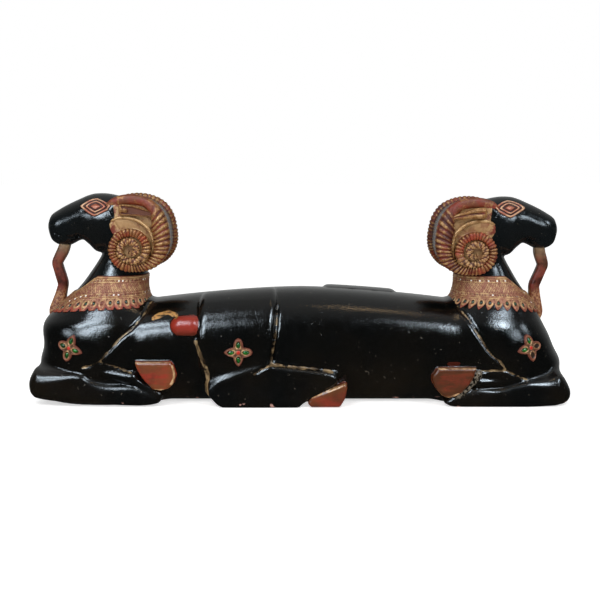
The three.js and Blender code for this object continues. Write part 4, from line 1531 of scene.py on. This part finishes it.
class Paint(Nodes):
    """A material with one glossy shader."""

    def __init__(self, name):
        self.material = bpy.data.materials.new(name)
        super().__init__(self.material)
        self.shader = self.node("ShaderNodeBsdfPrincipled")
        self.node("ShaderNodeOutputMaterial", self.shader.outputs[0])
        self.place = self.node("ShaderNodeTexCoord").outputs["Object"]

    def field(self, name):
        return self.node("ShaderNodeAttribute", attribute_name=name).outputs["Fac"]

    def height(self):
        return self.node("ShaderNodeSeparateXYZ", self.place).outputs["Z"]

    def noise(self, scale, detail=3.0, rough=0.5, stretch=None):
        place = self.place
        if stretch:
            place = self.node("ShaderNodeMapping", place, None, None, stretch).outputs[0]
        made = self.node("ShaderNodeTexNoise", place)
        for key, number in (("Scale", scale), ("Detail", detail), ("Roughness", rough), ("Distortion", 0.0)):
            made.inputs[key].default_value = number
        return made.outputs["Fac"]

    def mix(self, share, first, second):
        """A colour between two colours."""
        made = self.node("ShaderNodeMix", data_type="RGBA")
        self.link(share, made.inputs[0])
        self.link(first, made.inputs[6])
        self.link(second, made.inputs[7])
        return made.outputs[2]

    def blend(self, share, first, second):
        """A number between two numbers."""
        made = self.node("ShaderNodeMix", data_type="FLOAT")
        self.link(share, made.inputs[0])
        self.link(first, made.inputs[2])
        self.link(second, made.inputs[3])
        return made.outputs[0]

    def shade(self, value, low, high, first, second):
        """The first colour where value is low, the second where it is high."""
        return self.mix(self.ramp(value, low, high), first, second)

    def bump(self, height, distance):
        made = self.node("ShaderNodeBump")
        made.inputs["Strength"].default_value = 1.0
        made.inputs["Distance"].default_value = distance
        self.link(height, made.inputs["Height"])
        return made.outputs[0]

    def finish(self, colour, rough, metal=0.0, normal=None, specular=0.5):
        self.link(colour, self.shader.inputs["Base Color"])
        self.link(rough, self.shader.inputs["Roughness"])
        self.link(metal, self.shader.inputs["Metallic"])
        if normal is not None:
            self.link(normal, self.shader.inputs["Normal"])
        self.shader.inputs["Specular IOR Level"].default_value = specular
        return self.material


def paint(*screen):
    """A colour given in screen values from 0 to 255."""
    return tuple(((c / 255 + 0.055) / 1.055) ** 2.4 if c > 10 else c / 255 / 12.92 for c in screen)


LACQUER = paint(7, 8, 8)
LACQUER_BROWN = paint(22, 17, 10)
HEAD_LACQUER = paint(13, 17, 19)
LACQUER_DUST = paint(84, 78, 68)
GOLD = paint(156, 115, 68)
GOLD_DARK = paint(100, 62, 32)
GOLD_PALE = paint(188, 152, 106)
RED = paint(122, 46, 27)
RED_BRIGHT = paint(140, 44, 25)
RED_DARK = paint(72, 27, 16)
BARE = paint(176, 134, 122)

# Old gilding and red paint shine less than the lacquer.
GILDED_GLOSS = 0.25
GILDED_METAL = 0.25


def lacquer_layers(p, black):
    """Colour, roughness and bump height of the black lacquer."""
    wide = p.noise(9, 3)
    middle = p.noise(60, 4)
    fine = p.noise(420, 3)
    low = p.ramp(p.height(), 0.115, 0.01)
    brown = p.times(p.ramp(wide, 0.35, 0.7), p.blend(low, 0.25, 0.9))
    colour = p.mix(brown, black, LACQUER_BROWN)
    chips = p.times(p.ramp(p.noise(170, 2, 0.6), 0.69, 0.73), p.ramp(middle, 0.45, 0.6))
    colour = p.mix(p.times(chips, 0.8), colour, LACQUER_DUST)
    bare = p.times(p.ramp(p.noise(70, 3), 0.66, 0.71), p.ramp(p.height(), 0.012, 0.004))
    colour = p.mix(bare, colour, BARE)
    rough = p.plus(p.ramp(middle, 0.3, 0.75, 0.07, 0.15), p.times(low, 0.12))
    height = p.plus(p.times(middle, 0.45), p.times(fine, 0.30))
    return colour, rough, p.math("SUBTRACT", height, p.times(chips, 0.12))


def hoof_paint(p, wobble):
    """The red hooves and tail stubs, with their gilt rims; the tail stubs are darker towards the bottom as
    painted shade.
    """
    rim = p.field("rim")
    streak = p.noise(30, 4, 0.65, stretch=(1.0, 1.0, 4.0))
    hoof = p.shade(p.noise(26, 4, 0.6), 0.36, 0.62, paint(84, 34, 18), RED_BRIGHT)
    hoof = p.mix(p.ramp(rim, 14, 3, 0.0, 0.5), hoof, paint(112, 70, 30))
    hoof = p.mix(p.ramp(streak, 0.46, 0.62, 0.0, 0.6), hoof, paint(106, 62, 30))
    brown = p.times(p.field("brown"), p.ramp(streak, 0.3, 0.6, 0.5, 1.0))
    hoof = p.mix(brown, hoof, paint(76, 40, 17))
    gilded = p.ramp(p.plus(rim, p.times(wobble, 0.7)), 0.8, -0.8)
    gilded = p.times(gilded, p.ramp(p.noise(64, 3), 0.3, 0.5, 0.45, 1.0))
    gilding = p.shade(p.noise(110, 3), 0.36, 0.62, paint(124, 84, 46), paint(196, 158, 116))
    hoof = p.mix(gilded, hoof, gilding)
    height = p.plus(p.height(), p.times(streak, 0.02))
    # Painted shade: the tail stub goes from red on top to dark brown underneath.
    stub = p.shade(height, 0.130, 0.156, paint(58, 28, 12), paint(142, 40, 24))
    return p.mix(p.field("tail"), hoof, stub)


def body_material():
    p = Paint("black_lacquer")
    colour, rough, height = lacquer_layers(p, LACQUER)
    wobble = p.swing(p.noise(70, 3), 6.0)
    gilt = p.ramp(p.plus(p.field("gilt"), wobble), 2.1, 0.9)
    gilt = p.times(gilt, p.ramp(p.noise(46, 4, 0.65), 0.30, 0.46))
    gold = p.shade(p.noise(90, 3), 0.38, 0.66, paint(74, 56, 32), paint(152, 126, 88))
    smudge = p.ramp(p.plus(p.field("smudge"), wobble), 4.6, 3.4)
    strokes = p.noise(120, 3, 0.6, stretch=(0.4, 1.0, 2.0))
    smudge = p.times(smudge, p.ramp(strokes, 0.36, 0.44, 0.1, 1.0))
    smudged = p.shade(p.noise(190, 3), 0.36, 0.56, paint(96, 62, 28), paint(192, 142, 78))
    gold = p.mix(smudge, gold, smudged)
    gilt = p.math("MAXIMUM", gilt, smudge)
    red = p.ramp(p.plus(p.field("red"), p.times(wobble, 0.2)), 0.4, -0.6)
    colour = p.mix(red, colour, hoof_paint(p, wobble))
    smear = p.ramp(p.plus(p.field("smear"), wobble), 4.2, 2.8, 0.0, 0.85)
    colour = p.mix(smear, colour, RED_DARK)
    colour = p.mix(gilt, colour, gold)
    flakes = p.times(p.field("flaked"), p.ramp(p.noise(230, 3, 0.6), 0.47, 0.54))
    colour = p.mix(flakes, colour, paint(124, 114, 100))
    rough = p.blend(gilt, p.blend(red, rough, 0.28), 0.42)
    return p.finish(colour, rough, p.times(gilt, GILDED_METAL), p.bump(height, 0.0008))


def gilded_material(name, redness):
    """Worn gilding over red: gold where the relief stands up, red in the hollows and where it is worn."""
    p = Paint(name)
    wear = p.noise(75, 4, 0.6)
    grain = p.noise(330, 3)
    share = p.plus(p.field("crest"), p.swing(wear, 1.5))
    gold_share = p.ramp(share, 0.42 + redness, 0.85 + redness)
    red = p.shade(p.noise(40, 3), 0.35, 0.65, RED_DARK, RED)
    gold = p.shade(grain, 0.3, 0.7, GOLD_DARK, GOLD)
    gold = p.shade(share, 0.9, 1.5, gold, GOLD_PALE)
    return p, p.mix(gold_share, red, gold), gold_share, grain, wear


def horn_material(name, redness):
    """Gilded ribs with painted shade in the grooves; the ring round the curl is redder, and the curl's
    middle is gold.
    """
    p, colour, gold_share, grain, wear = gilded_material(name, redness)
    worn_red = p.shade(p.noise(60, 3), 0.4, 0.6, RED, paint(108, 58, 34))
    top = p.shade(wear, 0.56, 0.70, worn_red, GOLD)
    colour = p.mix(p.times(p.field("plain"), 0.85), colour, top)
    ring = p.times(p.field("ring"), p.ramp(p.noise(28, 3), 0.42, 0.6, 0.1, 0.75))
    colour = p.mix(ring, colour, p.shade(wear, 0.4, 0.6, paint(150, 62, 38), paint(128, 80, 46)))
    core = p.times(p.field("core"), p.ramp(p.field("crest"), 0.25, 0.6, 0.2, 0.8))
    colour = p.mix(core, colour, p.shade(grain, 0.35, 0.65, GOLD, GOLD_PALE))
    # Painted shade: the grooves between the ribs are darkened.
    dark = p.times(p.ramp(p.field("crest"), 0.5, 0.1), 0.8)
    colour = p.mix(dark, colour, paint(58, 26, 14))
    metal = p.times(gold_share, GILDED_METAL)
    bump = p.bump(p.plus(grain, wear), 0.0007)
    return p.finish(colour, p.blend(gold_share, 0.5, 0.34), metal, bump, GILDED_GLOSS)


def head_material():
    p = Paint("head_lacquer")
    colour, rough, height = lacquer_layers(p, HEAD_LACQUER)
    inside = p.plus(p.field("side"), p.swing(p.noise(90, 3), 4.0))
    side = p.ramp(inside, -0.5, 0.8)
    wear = p.noise(70, 4, 0.6)
    gold = p.mix(p.noise(200, 3), GOLD, GOLD_PALE)
    red = p.shade(p.noise(60, 3), 0.4, 0.6, RED, paint(120, 66, 40))
    patches = p.times(p.ramp(wear, 0.50, 0.58), p.ramp(inside, 16.0, 4.0, 0.35, 1.0))
    colour = p.mix(side, colour, p.mix(patches, gold, red))
    return p.finish(colour, p.blend(side, rough, 0.4), p.times(side, 0.2), p.bump(height, 0.0007))


def ear_material():
    p, colour, gold_share, grain, wear = gilded_material("gilded_ear", 0.0)
    colour = p.mix(p.ramp(p.field("crest"), 0.5, 0.1, 0.0, 0.8), colour, paint(94, 54, 34))
    metal = p.times(gold_share, GILDED_METAL)
    return p.finish(colour, p.blend(gold_share, 0.6, 0.36), metal, p.bump(grain, 0.0006), GILDED_GLOSS)


def collar_material():
    p = Paint("gilded_collar")
    wear = p.noise(85, 4, 0.6)
    grain = p.noise(360, 3)
    share = p.plus(p.ramp(p.field("relief"), 1.4, 2.9), p.swing(wear, 1.4))
    gold_share = p.ramp(share, 0.10, 0.62)
    red = p.shade(grain, 0.3, 0.7, paint(92, 40, 26), paint(128, 70, 52))
    gold = p.shade(share, 0.35, 1.2, paint(146, 106, 72), GOLD_PALE)
    gold = p.shade(p.noise(120, 2), 0.45, 0.6, gold, paint(140, 92, 68))
    colour = p.mix(gold_share, red, gold)
    tip = p.times(p.ramp(p.field("edge"), -0.35, -0.12), p.ramp(p.field("height"), 0.17, 0.08))
    tip = p.times(tip, p.ramp(p.noise(50, 3), 0.4, 0.6, 0.35, 0.9))
    colour = p.mix(tip, colour, paint(150, 62, 44))
    metal = p.times(gold_share, GILDED_METAL)
    return p.finish(colour, p.blend(gold_share, 0.55, 0.38), metal, p.bump(grain, 0.0005), GILDED_GLOSS)


def strap_material():
    """Red lacquer, bare and gold at the chin, and gilded like the collar at its foot."""
    p = Paint("red_strap")
    wear = p.noise(48, 4, 0.6)
    grain = p.noise(240, 3)
    colour = p.shade(wear, 0.38, 0.62, paint(60, 24, 14), paint(110, 40, 24))
    colour = p.mix(p.ramp(p.noise(90, 3), 0.56, 0.7, 0.0, 0.6), colour, GOLD_DARK)
    top = p.times(p.field("worn"), p.ramp(wear, 0.2, 0.6, 0.5, 1.0))
    colour = p.mix(top, colour, p.mix(grain, paint(92, 80, 64), paint(160, 132, 96)))
    foot = p.plus(p.field("low"), p.swing(wear, 30.0))
    gilding = p.shade(grain, 0.38, 0.6, paint(104, 52, 34), paint(158, 116, 78))
    colour = p.shade(foot, 206.0, 188.0, colour, gilding)
    rough = p.ramp(wear, 0.3, 0.7, 0.28, 0.5)
    return p.finish(colour, rough, 0.0, p.bump(p.plus(wear, grain), 0.0008), GILDED_GLOSS)


def eye_material():
    p = Paint("painted_eye")
    wear = p.noise(120, 3, 0.6)
    share = p.plus(p.ramp(p.field("relief"), 0.9, 2.2), p.swing(wear, 1.1))
    pale = p.shade(p.noise(70, 3), 0.4, 0.6, paint(196, 156, 124), paint(172, 106, 84))
    colour = p.shade(share, 0.3, 0.8, paint(58, 24, 16), pale)
    colour = p.mix(p.ramp(p.field("ring"), 0.36, 0.24, 0.0, 0.7), colour, paint(138, 66, 42))
    return p.finish(colour, 0.36, 0.1, p.bump(wear, 0.0005), GILDED_GLOSS)


def flower_material():
    p = Paint("gilded_flower")
    wear = p.noise(160, 3, 0.6)
    raised = p.plus(p.field("relief"), p.times(wear, 1.2))
    gold = p.shade(wear, 0.4, 0.62, paint(128, 88, 56), GOLD_PALE)
    colour = p.shade(raised, 2.7, 4.0, paint(74, 44, 30), gold)
    colour = p.mix(p.ramp(p.field("rim"), 0.70, 0.86, 0.0, 0.85), colour, paint(112, 58, 46))
    colour = p.mix(p.ramp(p.field("seat"), 1.0, 0.9, 0.0, 0.85), colour, paint(36, 30, 22))
    colour = p.shade(p.field("heart"), 0.25, 0.5, colour, paint(176, 44, 28))
    return p.finish(colour, 0.4, 0.1, p.bump(wear, 0.0005), GILDED_GLOSS)


def glass_material(name, tone, deep):
    p = Paint(name)
    cloud = p.noise(160, 3)
    rough = p.ramp(p.noise(300, 2), 0.3, 0.7, 0.06, 0.2)
    return p.finish(p.shade(cloud, 0.35, 0.65, deep, tone), rough, 0.0, p.bump(cloud, 0.0003))


def mirror_material():
    p = Paint("mirror_dot")
    tarnish = p.noise(220, 3)
    dull = p.shade(tarnish, 0.4, 0.62, paint(170, 140, 108), paint(112, 84, 62))
    # Painted reflection: some dots are painted near white as a glint, since the dot is not metallic.
    colour = p.mix(p.field("painted_glint"), dull, paint(244, 244, 240))
    return p.finish(colour, 0.16, 0.0, p.bump(tarnish, 0.0003))


def floor_material():
    p = Paint("pale_floor")
    colour = p.mix(p.noise(1.5, 2), (0.88, 0.88, 0.88), (0.90, 0.90, 0.90))
    p.link(WHITE, p.shader.inputs["Emission Color"])
    p.link(FLOOR_GLOW, p.shader.inputs["Emission Strength"])
    return p.finish(colour, 0.9)


# The carving

def build_all():
    horns = {"right": horn_material("gilded_horn_red", 0.26), "left": horn_material("gilded_horn", 0.04)}
    head = head_material()
    ear = ear_material()
    collar = collar_material()
    strap = strap_material()
    eye = eye_material()
    flower = flower_material()
    glass = glass_material("green_glass", paint(34, 104, 34), paint(12, 48, 22))
    stone = glass_material("dark_green_stone", paint(34, 62, 30), paint(10, 22, 12))
    mirror = mirror_material()
    build_body(body_material())
    for seed, (name, ram) in enumerate(RAMS.items()):
        rng = np.random.default_rng(seed + FIRST_SEED)
        build_head(name, ram, head)
        for side in BOTH_SIDES:
            build_horn(name, ram, side, horns[name], rng)
            build_ear(name, ram, side, ear)
            build_eye(name, ram, side, eye)
        build_strap(name, ram, strap)
        build_collar(name, ram, collar)
        build_stones(name, ram, stone, mirror, rng)
    for details in flower_list():
        build_flower(*details, flower, glass)


# Camera, floor and light

def build_camera():
    data = bpy.data.cameras.new("camera")
    data.sensor_width = SENSOR
    data.lens = SENSOR * FOCAL_PIXELS / IMAGE_SIZE
    data.clip_end = 40
    camera = placed("camera", data)
    target = Vector((0, 0, CAMERA_HEIGHT))
    camera.location = target + Vector((0, -math.cos(CAMERA_RISE), math.sin(CAMERA_RISE))) * CAMERA_DISTANCE
    camera.rotation_euler = (target - camera.location).to_track_quat("-Z", "Y").to_euler()
    bpy.context.scene.camera = camera


def build_floor():
    mesh = bpy.data.meshes.new("floor")
    corners = [(FLOOR * a, FLOOR * b, 0) for a, b in ((-1, -1), (1, -1), (1, 1), (-1, 1))]
    mesh.from_pydata(corners, [], [(0, 1, 2, 3)])
    mesh.materials.append(floor_material())
    floor = placed("floor", mesh)
    floor.visible_glossy = False


def build_world():
    """White as a backdrop and for soft fill light, and a dim room for what the gloss mirrors."""
    world = bpy.data.worlds.new("studio")
    w = Nodes(world)
    path = w.node("ShaderNodeLightPath").outputs
    around = w.node("ShaderNodeSeparateXYZ", w.node("ShaderNodeTexCoord").outputs["Generated"]).outputs

    def background(tone, strength):
        return w.node("ShaderNodeBackground", tone, strength).outputs[0]

    def either(share, first, second):
        return w.node("ShaderNodeMixShader", share, first, second).outputs[0]

    upper = w.plus(around["Z"], w.times(around["Y"], ROOM_LEAN))
    lightness = w.math("MULTIPLY_ADD", w.math("ABSOLUTE", around["X"]), -ROOM_SIDES, upper)
    room = background(ROOM_TONE, w.ramp(lightness, ROOM_FROM, ROOM_TO, ROOM_DIM, ROOM_BRIGHT))
    lit = either(path["Is Diffuse Ray"], room, background(WHITE, FILL))
    seen = either(path["Is Camera Ray"], lit, background(WHITE, 1.0))
    w.node("ShaderNodeOutputWorld", seen)
    bpy.context.scene.world = world


def soft_light(name, place, aim, width, height, power, tone, roll=0.0, spread=180.0):
    """A rectangular light turned by roll degrees, whose light spreads by spread degrees."""
    data = bpy.data.lights.new(name, "AREA")
    data.shape = "RECTANGLE"
    data.size = width
    data.size_y = height
    data.energy = power
    data.color = tone
    data.spread = math.radians(spread)
    light = placed(name, data)
    light.location = place
    facing = (Vector(aim) - Vector(place)).to_track_quat("-Z", "Y")
    light.rotation_euler = (facing @ Quaternion((0, 0, 1), math.radians(roll))).to_euler()
    return light


def build_lights():
    for name, place, aim, width, height, power, roll, spread in WINDOWS:
        window = soft_light(name, place, aim, width, height, power, DAYLIGHT, roll, spread)
        window.visible_diffuse = False
    for name, across, width, power in WARM_LAMPS:
        lamp = soft_light(name, (across, -0.33, 2.3), (0.15, 0, 0.15), width, 0.07, power, WARM_TONE)
        lamp.visible_diffuse = False
    for name, place, power in (("key", (-0.9, -1.7, 1.9), 26), ("second", (1.1, -1.7, 1.7), 15)):
        soft_light(name, place, (0, 0, 0.15), 1.2, 1.2, power, SOFT_TONE).visible_glossy = False


build_all()
build_camera()
build_floor()
build_world()
build_lights()
bpy.context.scene.view_settings.view_transform = "Standard"
